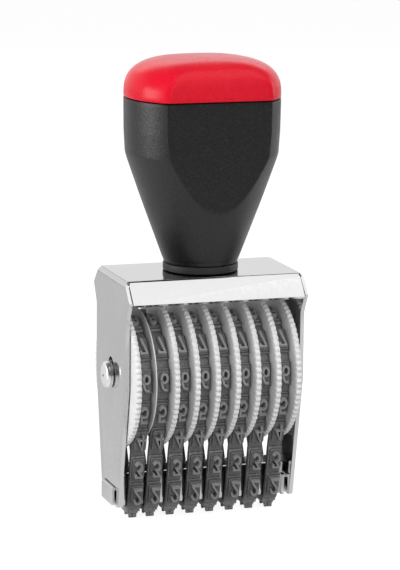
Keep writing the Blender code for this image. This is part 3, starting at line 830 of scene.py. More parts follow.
@dataclass
class AxleSet:
    """Axle pin with its end cap, the guide disc and the washers.

    The groove's three points lie before the dome. The pit's points are radius and depth.
    """

    axle_z: float = AXLE_Z
    pin_radius: float = 2.0 * MM
    face_x: float = 24.5 * MM
    edge: float = 0.2 * MM
    head_radius: float = 3.5 * MM
    head_outer_x: float = 26.45 * MM
    shoulder: float = 1.0 * MM
    dome_rise: float = 0.9 * MM
    dome_steps: int = 8
    groove_depth: float = 0.14 * MM
    groove_before: Triple = (0.28 * MM, 0.22 * MM, 0.08 * MM)
    pit: tuple[Point, ...] = ((0.95 * MM, 0.02 * MM), (0.55 * MM, 0.0), (0.42 * MM, 0.3 * MM),
                              (0.0, 0.36 * MM))
    cap_gap: float = 0.1 * MM
    washer_edge: float = 0.05 * MM
    disc_x: float = -17.175 * MM
    disc_radius: float = 17.4 * MM
    disc_half: float = 0.15 * MM
    disc_edge: Point = (0.08 * MM, 0.07 * MM)
    hub_radius: float = 6.5 * MM
    hub_half: float = 0.3 * MM
    bore_radius: float = 2.1 * MM
    steps: int = 72
    disc_steps: int = 144

    def head(self, side: float) -> list[Point]:
        """Outer part of a head: edge, turned groove, dome, and pit in its middle.

        Args:
            side: -1 for the left head, 1 for the right one.

        Returns:
            Profile points of (radius, x).
        """
        radius, middle = self.head_radius, self.head_outer_x - self.shoulder
        start, floor, end = (middle - before for before in self.groove_before)
        points = [(radius - self.edge, self.face_x), (radius, self.face_x + self.edge), (radius, start),
                  (radius - self.groove_depth, floor), (radius - self.groove_depth, end)]
        for i in range(self.dome_steps + 1):
            angle = 0.5 * math.pi * i / self.dome_steps
            points.append((radius - self.shoulder * (1 - math.cos(angle)),
                           middle + self.dome_rise * math.sin(angle)))
        points += [(reach, self.head_outer_x - drop) for reach, drop in self.pit]
        return [(reach, side * x) for reach, x in points]

    def build(self) -> None:
        """Build and dress the axle, its cap, the disc and the washers."""
        radius, end = self.pin_radius, self.face_x
        pin = [(0.0, end), (radius - self.edge, end), (radius, end - self.edge), (radius, -end)]
        pin += self.head(-1)
        inner = end + self.cap_gap
        cap = [(0.0, inner)] + [(reach, max(x, inner)) for reach, x in self.head(1)]
        origin = (0, 0, self.axle_z)
        add_piece(turned("axle_pin_turned", pin, self.steps, True, origin), BRIGHT_STEEL, "axle_pin")
        add_piece(turned("axle_cap_pressed", cap, self.steps, True, origin), BRIGHT_STEEL, "axle_cap")
        inset, edge_half = self.disc_edge
        disc = [(self.bore_radius, self.hub_half), (self.hub_radius, self.hub_half),
                (self.hub_radius, self.disc_half), (self.disc_radius - inset, self.disc_half),
                (self.disc_radius, edge_half)]
        disc += [(reach, -x) for reach, x in reversed(disc)]
        mesh = turned("guide_disc_moulded", disc, self.disc_steps, True, (self.disc_x, 0, self.axle_z))
        add_piece(mesh, WHITE_PLASTIC, "guide_disc")
        for node in ("end_washer", "spring_washer"):
            add_piece(softened_copy(node + "_soft", node, self.washer_edge), BRIGHT_STEEL, node)


# ---------------------------------------------------------------- setting wheels

@dataclass
class SettingWheels:
    """Eight setting wheels with serrated rims.

    The roundings, in millimetres, follow the corners of the profile. The phases turn each wheel's
    rim by a share of a tooth.
    """

    count: int = 8
    axle_z: float = AXLE_Z
    pitch: float = 5.54 * MM
    width: float = 5.27 * MM
    second_right_x: float = -11.33 * MM
    first_right_x: float = -17.75 * MM
    rim_radius: float = 19.4 * MM
    rim_width: float = 1.35 * MM
    drum_radius: float = 12.9 * MM
    bore_radius: float = 2.1 * MM
    teeth: int = 76
    tooth_depth: float = 0.52 * MM
    tooth_samples: int = 12
    tooth_reach: Point = (0.9 * MM, 0.2 * MM)
    hub_wall: float = 2.6 * MM
    hub_sink: float = 0.15 * MM
    rim_chamfer: Point = (0.30 * MM, 0.42 * MM)
    roundings: tuple[float, ...] = (0, 0.1, 0.1, 0.16, 0.3, 0.3, 0.16, 0.2, 0.15, 0.1)
    phases: tuple[float, ...] = (0.0, 0.6, 0.25, 0.8, 0.45, 0.1, 0.7, 0.35)

    def profile(self) -> list[Point]:
        """Profile of one wheel, from its left end at x = 0.

        Returns:
            Points of (radius, x).
        """
        inner, face, rim = self.width - self.rim_width, self.width - self.hub_sink, self.rim_radius
        hub, (drop, slope) = self.bore_radius + self.hub_wall, self.rim_chamfer
        corners = [(self.bore_radius, face), (hub, face), (hub, self.width), (rim - drop, self.width),
                   (rim, self.width - slope), (rim, inner + slope), (rim - drop, inner),
                   (self.drum_radius, inner), (self.drum_radius, 0.0), (self.bore_radius, 0.0)]
        return rounded(corners, [radius * MM for radius in self.roundings], steps=2)

    def tree(self) -> bpy.types.NodeTree:
        """Geometry nodes that cut the serrations: the radius falls between one tooth and the next.

        Returns:
            The geometry node group.
        """
        inputs = {"Geometry": "NodeSocketGeometry", "Teeth": self.teeth, "Depth": self.tooth_depth,
                  "Root Radius": self.rim_radius, "Outer Radius": self.rim_radius,
                  "Material": "NodeSocketMaterial"}
        group = new_group("serrated_rim", inputs, ("Geometry",), shapes=True)
        tree = group.tree
        spot = tree.first("GeometryNodeInputPosition")
        x, y, z = tree.add("ShaderNodeSeparateXYZ", {0: spot}).outputs
        radius = tree.math("SQRT", tree.math("ADD", tree.math("POWER", y, 2.0), tree.math("POWER", z, 2.0)))
        half_teeth = tree.math("MULTIPLY", group.given("Teeth"), 0.5)
        half_turns = tree.math("MULTIPLY", tree.math("ARCTAN2", z, y), half_teeth)
        crest = tree.math("ABSOLUTE", tree.math("COSINE", half_turns))
        reach = tree.spread(radius, group.given("Root Radius"), group.given("Outer Radius"))
        valley = tree.math("MULTIPLY", tree.math("SUBTRACT", 1.0, crest), reach)
        drop = tree.math("MULTIPLY", valley, group.given("Depth"))
        factor = tree.math("SUBTRACT", 1.0, tree.math("DIVIDE", drop, radius))
        place = {"X": x, "Y": tree.math("MULTIPLY", y, factor), "Z": tree.math("MULTIPLY", z, factor)}
        target = tree.first("ShaderNodeCombineXYZ", place)
        values = {"Geometry": group.given("Geometry"), "Position": target}
        return group.close_shape(tree.first("GeometryNodeSetPosition", values))

    def master(self) -> bpy.types.Mesh:
        """Turn one wheel and serrate its rim.

        Returns:
            The wheel, with its left end at the origin and its axis along X.
        """
        steps = self.teeth * self.tooth_samples
        blank = turned("wheel_blank", self.profile(), steps, True)
        item = put_in_scene(blank.name, blank)
        root, outer = (self.rim_radius - inset for inset in self.tooth_reach)
        add_nodes(item, self.tree(), {"Teeth": self.teeth, "Depth": self.tooth_depth, "Root Radius": root,
                                      "Outer Radius": outer, "Material": material_of(WHITE_PLASTIC)})
        return baked("wheel_master", item)

    def build(self) -> None:
        """Build and dress the eight wheels, each on its own body."""
        master = self.master()
        for number in range(1, self.count + 1):
            phase = Matrix.Rotation(2 * math.pi / self.teeth * self.phases[number - 1], 4, "X")
            left = self.second_right_x + (number - 2) * self.pitch - self.width
            place = Matrix.Translation((left, 0, self.axle_z))
            if number == 1:
                turn = Matrix.Rotation(math.pi, 4, "Z")
                place = Matrix.Translation((self.first_right_x, 0, self.axle_z)) @ turn
            mesh = moved(master, place @ phase, f"wheel_{number}_moulded")
            add_piece(mesh, WHITE_PLASTIC, f"setting_wheel_{number}", body=f"wheel_{number}")


# ---------------------------------------------------------------- number bands

class Character(Enum):
    """What stands on a block, in the order that runs up the front from the print face."""

    (ONE, TWO, THREE, FOUR, FIVE, SIX, SEVEN, EIGHT, NINE, DASH, POINT, STROKE, COLON, BLANK,
     ZERO) = range(15)


def arc_points(centre: Point, radii: Point, start: float, end: float, steps: int = 10) -> list[Point]:
    """Points of an elliptic arc between two angles in degrees."""
    angles = [math.radians(start + (end - start) * i / steps) for i in range(steps + 1)]
    return [(centre[0] + radii[0] * math.cos(a), centre[1] + radii[1] * math.sin(a)) for a in angles]


def character_strokes(which: Character) -> list[tuple[list[Point], bool]]:
    """Middle lines of a character's strokes, in millimetres, upright and readable.

    Args:
        which: The character.

    Returns:
        Lines, each with True when it is a closed loop.
    """
    side, top = 0.80, 2.08
    strokes = {
        Character.ZERO: [(arc_points((0, 0), (side, top), 0, 342, 19), True)],
        Character.ONE: [([(0.12, -top), (0.12, top)], False), ([(0.12, top), (-0.62, 1.25)], False),
                        ([(-0.62, -top), (0.86, -top)], False)],
        Character.TWO: [(arc_points((0, 0.98), (side, 1.10), 165, -22, 10)
                         + [(-0.74, -1.70), (-0.78, -top), (0.84, -top)], False)],
        Character.THREE: [([(-0.78, 1.62), (-0.78, top), (0.74, top), (-0.06, 0.50)]
                           + arc_points((-0.06, -0.78), (0.86, 1.28), 78, -140, 11), False)],
        Character.FOUR: [([(0.34, -top), (0.34, top), (-0.84, -0.86), (0.92, -0.86)], False)],
        Character.FIVE: [([(0.74, top), (-0.60, top), (-0.66, 0.38)]
                          + arc_points((-0.04, -0.74), (0.86, 1.32), 108, -140, 11), False)],
        Character.SIX: [(arc_points((0, -0.95), (side, 1.12), 0, 342, 15), True),
                        (arc_points((0.18, -0.80), (0.98, 2.86), 172, 78, 9), False)],
        Character.SEVEN: [([(-0.80, 1.55), (-0.80, top), (0.78, top), (-0.20, -top)], False)],
        Character.EIGHT: [(arc_points((0, -1.02), (side, 1.06), 0, 342, 15), True),
                          (arc_points((0, 1.10), (0.68, 0.98), 0, 342, 15), True)],
        Character.NINE: [(arc_points((0, 0.95), (side, 1.12), 0, 342, 15), True),
                         (arc_points((-0.18, 0.80), (0.98, 2.86), -8, -102, 9), False)],
        Character.DASH: [([(-0.8, 0.0), (0.8, 0.0)], False)],
        Character.POINT: [([(0.0, -top), (0.0, -top + 0.42)], False)],
        Character.STROKE: [([(-0.6, -top), (0.6, top)], False)],
        Character.COLON: [([(0.0, 0.9), (0.0, 1.3)], False), ([(0.0, -1.3), (0.0, -0.9)], False)],
        Character.BLANK: [([(-0.1, 0.0), (0.1, 0.0)], False)],
    }
    return strokes[which]


@dataclass
class NumberBands:
    """Eight endless rubber bands with raised type.

    Each row of a block is half width, half length, height and corner radius, in millimetres.
    """

    count: int = 8
    axle_z: float = AXLE_Z
    drum_line_radius: float = 13.65 * MM
    foot_line_radius: float = 1.3 * MM
    foot_half_depth: float = 2.6 * MM
    foot_line_z: float = 4.15 * MM
    belt_width: float = 3.9 * MM
    foot_shift: float = 0.60 * MM
    shift_start_z: float = 20.0 * MM
    shift_end_z: float = 6.0 * MM
    belt_thickness: float = 1.1 * MM
    block_count: int = 15
    block_height: float = 1.1 * MM
    type_height: float = 1.2 * MM
    stroke_foot: float = 0.74 * MM
    stroke_face: float = 0.50 * MM
    stroke_edge: Point = (0.10 * MM, 0.12 * MM)
    stroke_sink: float = 0.15 * MM
    belt_edge: float = 0.3 * MM
    line_steps: int = 12
    corner_limits: Point = (0.35, 1.9)
    smooth_angle: float = 38.0
    block_relief: float = 2.4
    block_rows: tuple[tuple[float, float, float, float], ...] = (
        (1.93, 3.24, -0.25, 0.30), (1.92, 3.22, 0.40, 0.30), (1.87, 3.17, 0.48, 0.30),
        (1.80, 3.10, 0.50, 0.30), (1.56, 2.86, 0.50, 0.30), (1.52, 2.82, 0.54, 0.30),
        (1.48, 2.78, 1.03, 0.32), (1.44, 2.74, 1.08, 0.32), (1.37, 2.67, 1.10, 0.32))

    def measures(self) -> tuple[float, float, float, float, float]:
        """Measures of half the loop.

        Returns:
            Lengths of the flat, foot turn, straight run and drum, and the direction of the front
            run's outward normal in the Y-Z plane, in radians.
        """
        rise, step = self.axle_z - self.foot_line_z, self.drum_line_radius - self.foot_line_radius
        span = math.hypot(self.foot_half_depth, rise)
        normal = math.atan2(rise, self.foot_half_depth) + math.pi / 2 + math.asin(step / span)
        return (self.foot_half_depth, self.foot_line_radius * (1.5 * math.pi - normal),
                math.sqrt(span ** 2 - step ** 2), self.drum_line_radius * (normal - math.pi / 2), normal)

    def half_point(self, distance: float) -> tuple[Vector, Vector]:
        """Point of the middle line on the front half of the loop.

        Args:
            distance: Distance from the middle of the print face.

        Returns:
            The point and its outward normal, as (y, z).
        """
        flat, turn, run, _, normal = self.measures()
        centre, radius = Vector((-self.foot_half_depth, self.foot_line_z)), self.foot_line_radius
        if distance <= flat:
            return Vector((-distance, self.foot_line_z - radius)), Vector((0, -1))
        angle, along = normal, 0.0
        if distance <= flat + turn:
            angle = 1.5 * math.pi - (distance - flat) / radius
        elif distance <= flat + turn + run:
            along = distance - flat - turn
        else:
            centre, radius = Vector((0, self.axle_z)), self.drum_line_radius
            angle = normal - (distance - flat - turn - run) / radius
        out = Vector((math.cos(angle), math.sin(angle)))
        return centre + radius * out + along * Vector((out.y, -out.x)), out

    def loop_point(self, distance: float) -> tuple[Vector, Vector]:
        """Point of the middle line anywhere on the loop, up the front and down the back.

        Args:
            distance: Distance from the middle of the print face, less than the whole loop.

        Returns:
            The point and its outward normal, as (y, z).
        """
        half = sum(self.measures()[:4])
        if distance <= half:
            return self.half_point(distance)
        point, out = self.half_point(2 * half - distance)
        return Vector((-point.x, point.y)), Vector((-out.x, out.y))

    def path(self) -> bpy.types.Mesh:
        """Closed line of the belt, with the blocks' places as attributes.

        Returns:
            A mesh of edges.
        """
        total = self.block_count * self.line_steps
        length = 2 * sum(self.measures()[:4])
        spots, normals, marks = [], [], []
        for i in range(total):
            point, out = self.loop_point(length * i / total)
            spots.append((0.0, *point))
            normals += (0.0, *out)
            block, rest = divmod(i, self.line_steps)
            marks.append(-1 if rest else block)
        mesh = bpy.data.meshes.new("band_path")
        mesh.from_pydata(spots, [(i, (i + 1) % total) for i in range(total)], [])
        mesh.attributes.new("outward", "FLOAT_VECTOR", "POINT").data.foreach_set("vector", normals)
        mesh.attributes.new("character", "INT", "POINT").data.foreach_set("value", marks)
        return mesh

    def marked(self, mesh: bpy.types.Mesh, low: float, high: float) -> bpy.types.Mesh:
        """Store how far each point is raised; the finish paints the type lighter by it, partly as wear and
        partly as painted light.

        Args:
            mesh: Mesh of a block or a character.
            low: Height that counts as 0.
            high: Height that counts as 1.

        Returns:
            The same mesh.
        """
        relief = mesh.attributes.new("relief", "FLOAT", "POINT")
        values = [max(0.0, min(1.0, (vertex.co.z - low) / (high - low))) for vertex in mesh.vertices]
        relief.data.foreach_set("value", values)
        return mesh

    def block(self) -> bpy.types.Mesh:
        """One type block: a soft plate with a step, whose foot is on the belt's surface.

        Returns:
            The mesh, with its length along Y and its top towards +Z.
        """
        rings = []
        for row in self.block_rows:
            w, l, z, radius = (value * MM for value in row)
            outline = rounded([(w, -l), (w, l), (-w, l), (-w, -l)], radius, steps=3)
            rings.append([Vector((x, y, z)) for x, y in outline])
        ends = [[Vector((0, 0, ring[0].z))] for ring in (rings[0], rings[-1])]
        shape = stack_rings([ends[0], *rings, ends[1]])
        full = self.block_relief * self.block_height
        return self.marked(finish_mesh("type_block", shape, sharp=50), 0.0, full)

    def stroke(self, shape: bmesh.types.BMesh, line: Sequence[Point], closed: bool) -> None:
        """Sweep a stroke with drafted sides along a line.

        Args:
            shape: Shape that the stroke is added to.
            line: Middle line in metres.
            closed: True for a loop.
        """
        points = [Vector(point) for point in line]
        low, high = self.block_height - self.stroke_sink, self.block_height + self.type_height
        wider, lower = self.stroke_edge
        levels = ((self.stroke_foot, low), (self.stroke_face + wider, high - lower), (self.stroke_face, high))
        rows = []
        for i, here in enumerate(points):
            before = points[i - 1] if i or closed else None
            after = points[(i + 1) % len(points)] if i < len(points) - 1 or closed else None
            into = (here - before).normalized() if before else None
            out = (after - here).normalized() if after else None
            along = ((into or out) + (out or into)).normalized()
            side = Vector((along.y, -along.x))
            stretch, (least, most) = 1.0, self.corner_limits
            if into and out:
                stretch = min(most, 1.0 / max(least, side.dot(Vector((into.y, -into.x)))))
            left, right = [], []
            for width, z in levels:
                end = Vector((0.0, 0.0)) if into and out else along * (width / 2) * (1 if into else -1)
                reach = side * (width / 2 * stretch)
                left.append(Vector((*(here + end + reach), z)))
                right.append(Vector((*(here + end - reach), z)))
            rows.append(left + right[::-1])
        stack_rings(rows, closed, shape, capped=not closed)

    def letter(self, which: Character) -> bpy.types.Mesh:
        """Raised character, turned top down as on a printing block.

        Args:
            which: The character.

        Returns:
            The mesh.
        """
        shape = bmesh.new()
        for line, closed in character_strokes(which):
            self.stroke(shape, [(x * MM, -y * MM) for x, y in line], closed)
        top = self.block_height + self.type_height
        mesh = finish_mesh(f"type_{which.value:02d}", shape, sharp=40)
        return self.marked(mesh, self.block_height, top)

    def tree(self) -> bpy.types.NodeTree:
        """Geometry nodes that sweep the belt and set a block and a character at each place.

        Returns:
            The geometry node group.
        """
        inputs = {"Geometry": "NodeSocketGeometry", "Width": self.belt_width,
                  "Thickness": self.belt_thickness, "Edge Radius": self.belt_edge,
                  "Block": "NodeSocketObject", "Characters": "NodeSocketCollection",
                  "Material": "NodeSocketMaterial"}
        group = new_group("numbered_band", inputs, ("Geometry",), shapes=True)
        tree, path, thickness = group.tree, group.given("Geometry"), group.given("Thickness")
        outward = tree.first("GeometryNodeInputNamedAttribute", {"Name": "outward"},
                             data_type="FLOAT_VECTOR")
        mark = tree.first("GeometryNodeInputNamedAttribute", {"Name": "character"}, data_type="INT")
        line = tree.first("GeometryNodeMeshToCurve", {"Mesh": path})
        free = tree.first("GeometryNodeSetCurveNormal", {"Curve": line, "Normal": outward}, mode="FREE")
        section = tree.first("GeometryNodeCurvePrimitiveQuadrilateral",
                             {0: thickness, 1: group.given("Width")})
        values = {"Curve": section, "Radius": group.given("Edge Radius"), "Count": 3, "Limit Radius": True}
        soft = tree.first("GeometryNodeFilletCurve", values, mode="POLY")
        belt = tree.first("GeometryNodeCurveToMesh", {"Curve": free, "Profile Curve": soft})
        half = tree.math("MULTIPLY", thickness, 0.5)
        lift = tree.first("ShaderNodeVectorMath", {0: outward, "Scale": half}, operation="SCALE")
        raised = tree.first("GeometryNodeSetPosition", {"Geometry": path, "Offset": lift})
        facing = tree.first("FunctionNodeAxesToRotation", {0: outward, 1: (1.0, 0.0, 0.0)},
                            primary_axis="Z", secondary_axis="X")
        chosen = tree.first("FunctionNodeCompare", {2: mark, 3: 0}, data_type="INT",
                            operation="GREATER_EQUAL")
        block = tree.add("GeometryNodeObjectInfo", {"Object": group.given("Block")}).outputs["Geometry"]
        values = {"Collection": group.given("Characters"), "Separate Children": True, "Reset Children": True}
        letters = tree.first("GeometryNodeCollectionInfo", values)
        places = {"Points": raised, "Selection": chosen, "Rotation": facing}
        plates = tree.first("GeometryNodeInstanceOnPoints", {**places, "Instance": block})
        places |= {"Instance": letters, "Pick Instance": True, "Instance Index": mark}
        types = tree.first("GeometryNodeInstanceOnPoints", places)
        joined = tree.add("GeometryNodeJoinGeometry")
        for part in (types, plates, belt):
            tree.put(part, joined.inputs[0])
        return group.close_shape(joined.outputs[0])

    def master(self) -> bpy.types.Mesh:
        """Make one band about x = 0.

        Returns:
            The band's mesh.
        """
        case = bpy.data.collections.new("type_case")
        letters = [bpy.data.objects.new(f"type_{which.value:02d}", self.letter(which)) for which in Character]
        for letter in letters:
            case.objects.link(letter)
        block = bpy.data.objects.new("type_block", self.block())
        item = put_in_scene("band_path", self.path())
        add_nodes(item, self.tree(), {"Width": self.belt_width, "Thickness": self.belt_thickness,
                                      "Edge Radius": self.belt_edge, "Block": block, "Characters": case,
                                      "Material": material_of(GREY_RUBBER)})
        mesh = baked("band_master", item, block, *letters)
        bpy.data.collections.remove(case)
        for vertex in mesh.vertices:
            share = (self.shift_start_z - vertex.co.z) / (self.shift_start_z - self.shift_end_z)
            share = max(0.0, min(1.0, share))
            vertex.co.x += self.foot_shift * share * share * (3 - 2 * share)
        mesh.shade_smooth()
        mesh.set_sharp_from_angle(angle=math.radians(self.smooth_angle))
        return mesh

    def build(self) -> None:
        """Build and dress the eight bands."""
        master = self.master()
        for number in range(1, self.count + 1):
            low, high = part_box(f"number_band_{number}")
            place = Matrix.Translation(((low.x + high.x) / 2, 0, 0))
            add_piece(moved(master, place, f"band_{number}_moulded"), GREY_RUBBER, f"number_band_{number}")


# ---------------------------------------------------------------- handle

def soft_limit(value: float, limit: float, blend: float) -> float:
    """Hold a value under a limit, with a soft turn of width blend instead of a corner."""
    share = max(0.0, min(1.0, 0.5 + 0.5 * (limit - value) / blend))
    return limit + (value - limit) * share - blend * share * (1 - share)


@dataclass
class KnobHandle:
    """Knob handle with its red cap, neck ring, insert, screw and washer.

    Each row of the outline is radius, height and rounding, in millimetres. All roundings are in
    millimetres too, in the order of the profile's corners.
    """

    quarter_steps: int = 28
    least_flat: float = 0.9985
    flat: float = 15.0 * MM
    seam_z: float = 111.2 * MM
    gap: float = 0.25 * MM
    cap_top_z: float = 122.0 * MM
    cap_round_z: float = 115.0 * MM
    cap_round_power: float = 2.5
    radius: float = 20.5 * MM
    spigot_inset: float = 3.0 * MM
    spigot_length: float = 4.0 * MM
    bore_radius: float = 2.9 * MM
    bore_top_z: float = 80.0 * MM
    body_low_z: float = 67.95 * MM
    edge_blend: float = 0.22 * MM
    cap_blend: float = 2.6 * MM
    outline: tuple[Triple, ...] = (
        (9.82, 67.95, 0), (9.82, 68.5, 0.4), (10.3, 69.6, 2.5), (14.9, 82.0, 20), (16.6, 86.7, 20),
        (19.5, 95.0, 3.0), (20.05, 96.8, 6.0), (20.4, 103.0, 20), (20.5, 111.2, 0))
    level_step: float = 0.4 * MM
    edge: float = 0.22 * MM
    edge_start: float = 0.07 * MM
    cap_low_blend: float = 1.0 * MM
    cap_steps: int = 44
    cap_power: int = 3
    cap_top_gap: float = 0.2 * MM
    head_radius: float = 3.6 * MM
    head_height: float = 2.3 * MM
    shank_radius: float = 1.75 * MM
    screw_roundings: tuple[float, ...] = (0, 0.35, 0.15, 0.15, 1.1, 0)
    screw_steps: int = 64
    cross_size: Triple = (4.0 * MM, 0.62 * MM, 2.4 * MM)
    washer_edge: float = 0.06 * MM
    neck_bore: float = 2.2 * MM
    neck_roundings: tuple[float, ...] = (0.1, 0.28, 0.18, 0.1)
    neck_steps: int = 144

    def ring(self, radius: float, depth: float, z: float, blend: float) -> list[Vector]:
        """One level of the handle: a circle with a flat front and back.

        Args:
            radius: Radius of the circle.
            depth: Half depth between the flats.
            z: Height.
            blend: Softness of the corners.

        Returns:
            The ring.
        """
        if radius < TINY:
            return [Vector((0, 0, z))]
        edge = math.acos(min(self.least_flat, depth / radius))
        shares = [i / self.quarter_steps for i in range(self.quarter_steps)]
        quarter = [edge * (1 - (1 - share) ** 2) for share in shares]
        quarter += [edge + (math.pi / 2 - edge) * share ** 2 for share in shares] + [math.pi / 2]
        half = quarter + [math.pi - angle for angle in reversed(quarter[1:-1])]
        points = []
        for angle in half + [math.pi + angle for angle in half]:
            across, along = radius * math.sin(angle), -radius * math.cos(angle)
            held = soft_limit(abs(along), depth, min(blend, 0.5 * depth))
            points.append(Vector((across, math.copysign(max(0.0, held), along), z)))
        return points

    def levels(self) -> list[Point]:
        """Outer levels of the body, from the neck to the seam.

        Returns:
            Points of (radius, height).
        """
        corners = [(radius * MM, z * MM) for radius, z, _ in self.outline]
        line = rounded(corners, [rounding * MM for _, _, rounding in self.outline], steps=5,
                       closed=False)
        dense: list[Point] = []
        for (r0, z0), (r1, z1) in zip(line, line[1:]):
            count = max(1, round((z1 - z0) / self.level_step))
            dense += [(r0 + (r1 - r0) * i / count, z0 + (z1 - z0) * i / count) for i in range(count)]
        return dense + [line[-1]]

    def body(self) -> bpy.types.Mesh:
        """Handle body with its bore and the socket for the cap.

        Returns:
            The mesh.
        """
        wide, edge, start = 10 * self.radius, self.edge, self.edge_start
        low, top, radius, flat = self.body_low_z, self.seam_z, self.radius, self.flat
        inset, floor = self.spigot_inset - self.gap, top - self.spigot_length - self.gap
        outer = self.levels()
        rows = [(0, wide, self.bore_top_z), (self.bore_radius, wide, self.bore_top_z),
                (self.bore_radius, wide, low + edge), (self.bore_radius + edge, wide, low),
                (outer[0][0] - edge, wide, low)]
        rows += [(reach, flat, z) for reach, z in outer if low + edge <= z <= top - edge]
        rows += [(radius - start, flat - start, top - start), (radius - edge, flat - edge, top),
                 (radius - inset, flat - inset, top), (radius - inset, flat - inset, floor), (0, flat, floor)]
        rings = [self.ring(*row, self.edge_blend) for row in rows]
        return finish_mesh("handle_body_moulded", stack_rings(rings), sharp=40)

    def cap(self) -> bpy.types.Mesh:
        """Domed cap with its spigot.

        Returns:
            The mesh.
        """
        base, edge, start, soft = self.seam_z + self.gap, self.edge, self.edge_start, self.cap_low_blend
        inner, inner_flat = self.radius - self.spigot_inset, self.flat - self.spigot_inset
        low, top = self.seam_z - self.spigot_length, self.cap_top_z
        rows = [(0, inner_flat, low, soft), (inner - edge, inner_flat - edge, low, soft),
                (inner, inner_flat, low + edge, soft), (inner, inner_flat, base, soft),
                (self.radius - edge, self.flat - edge, base, soft),
                (self.radius - start, self.flat - start, base + start, soft)]
        for i in range(self.cap_steps, -1, -1):
            share = math.sin(0.5 * math.pi * i / self.cap_steps)
            rise = max(0.0, 1 - share ** self.cap_power) ** (1 / self.cap_power)
            z = base + max(edge, (top - base) * rise)
            lean = (z - self.cap_round_z) / (top + self.cap_top_gap - self.cap_round_z)
            lean = max(0.0, min(1.0, lean))
            depth = self.flat * (1 - lean ** self.cap_round_power) ** (1 / self.cap_round_power)
            blend = soft + (self.cap_blend - soft) * min(1.0, 2.0 * lean)
            rows.append((self.radius * share, depth, z, blend))
        rings = [self.ring(*row) for row in rows]
        return finish_mesh("handle_cap_moulded", stack_rings(rings), sharp=40)

    def screw(self) -> bpy.types.Mesh:
        """Pan head screw with a cross recess.

        Returns:
            The mesh.
        """
        low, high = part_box("handle_screw")
        top, wide, shank = low.z + self.head_height, self.head_radius, self.shank_radius
        corners = [(0.0, high.z), (shank, high.z), (shank, top), (wide, top), (wide, low.z), (0.0, low.z)]
        radii = [radius * MM for radius in self.screw_roundings]
        profile = rounded(corners, radii, steps=5, closed=False)
        item = put_in_scene("screw_draft", turned("screw_draft", profile, self.screw_steps))
        shape = bmesh.new()
        for turn in (0.0, 0.5 * math.pi):
            place = Matrix.Translation((0, 0, low.z)) @ Matrix.Rotation(turn, 4, "Z")
            size = Matrix.Diagonal((*self.cross_size, 1.0))
            bmesh.ops.create_cube(shape, size=1.0, matrix=place @ size)
        return baked("handle_screw_cross", item, cut_away(item, finish_mesh("cross_recess", shape), True))

    def build(self) -> None:
        """Build and dress the handle and what holds it."""
        add_piece(self.body(), BLACK_PLASTIC, "handle_body")
        add_piece(self.cap(), RED_PLASTIC, "handle_cap")
        low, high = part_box("neck_ring")
        corners = [(self.neck_bore, high.z), (high.x, high.z), (high.x, low.z), (self.neck_bore, low.z)]
        profile = rounded(corners, [radius * MM for radius in self.neck_roundings])
        add_piece(turned("neck_ring_moulded", profile, self.neck_steps), RING_PLASTIC, "neck_ring")
        add_piece(self.screw(), BRIGHT_STEEL, "handle_screw")
        washer = softened_copy("screw_washer_soft", "screw_washer", self.washer_edge)
        add_piece(washer, BRIGHT_STEEL, "screw_washer")
        keep_node("handle_insert", BRASS)


# ---------------------------------------------------------------- studio

@dataclass(frozen=True)
class Softbox:
    """Area lamp that looks at the stamp."""

    name: str
    place: Triple
    size: Point
    power: float
    mirrored: bool = True

    def build(self, target: Vector) -> None:
        """Hang the lamp.

        Args:
            target: Point that it looks at.
        """
        lamp = bpy.data.lights.new(self.name, "AREA")
        lamp.shape = "RECTANGLE"
        lamp.size, lamp.size_y = self.size
        lamp.energy = self.power
        item = put_in_scene(self.name, lamp)
        item.location = self.place
        item.visible_glossy = self.mirrored
        item.rotation_euler = (target - Vector(self.place)).to_track_quat("-Z", "Y").to_euler()


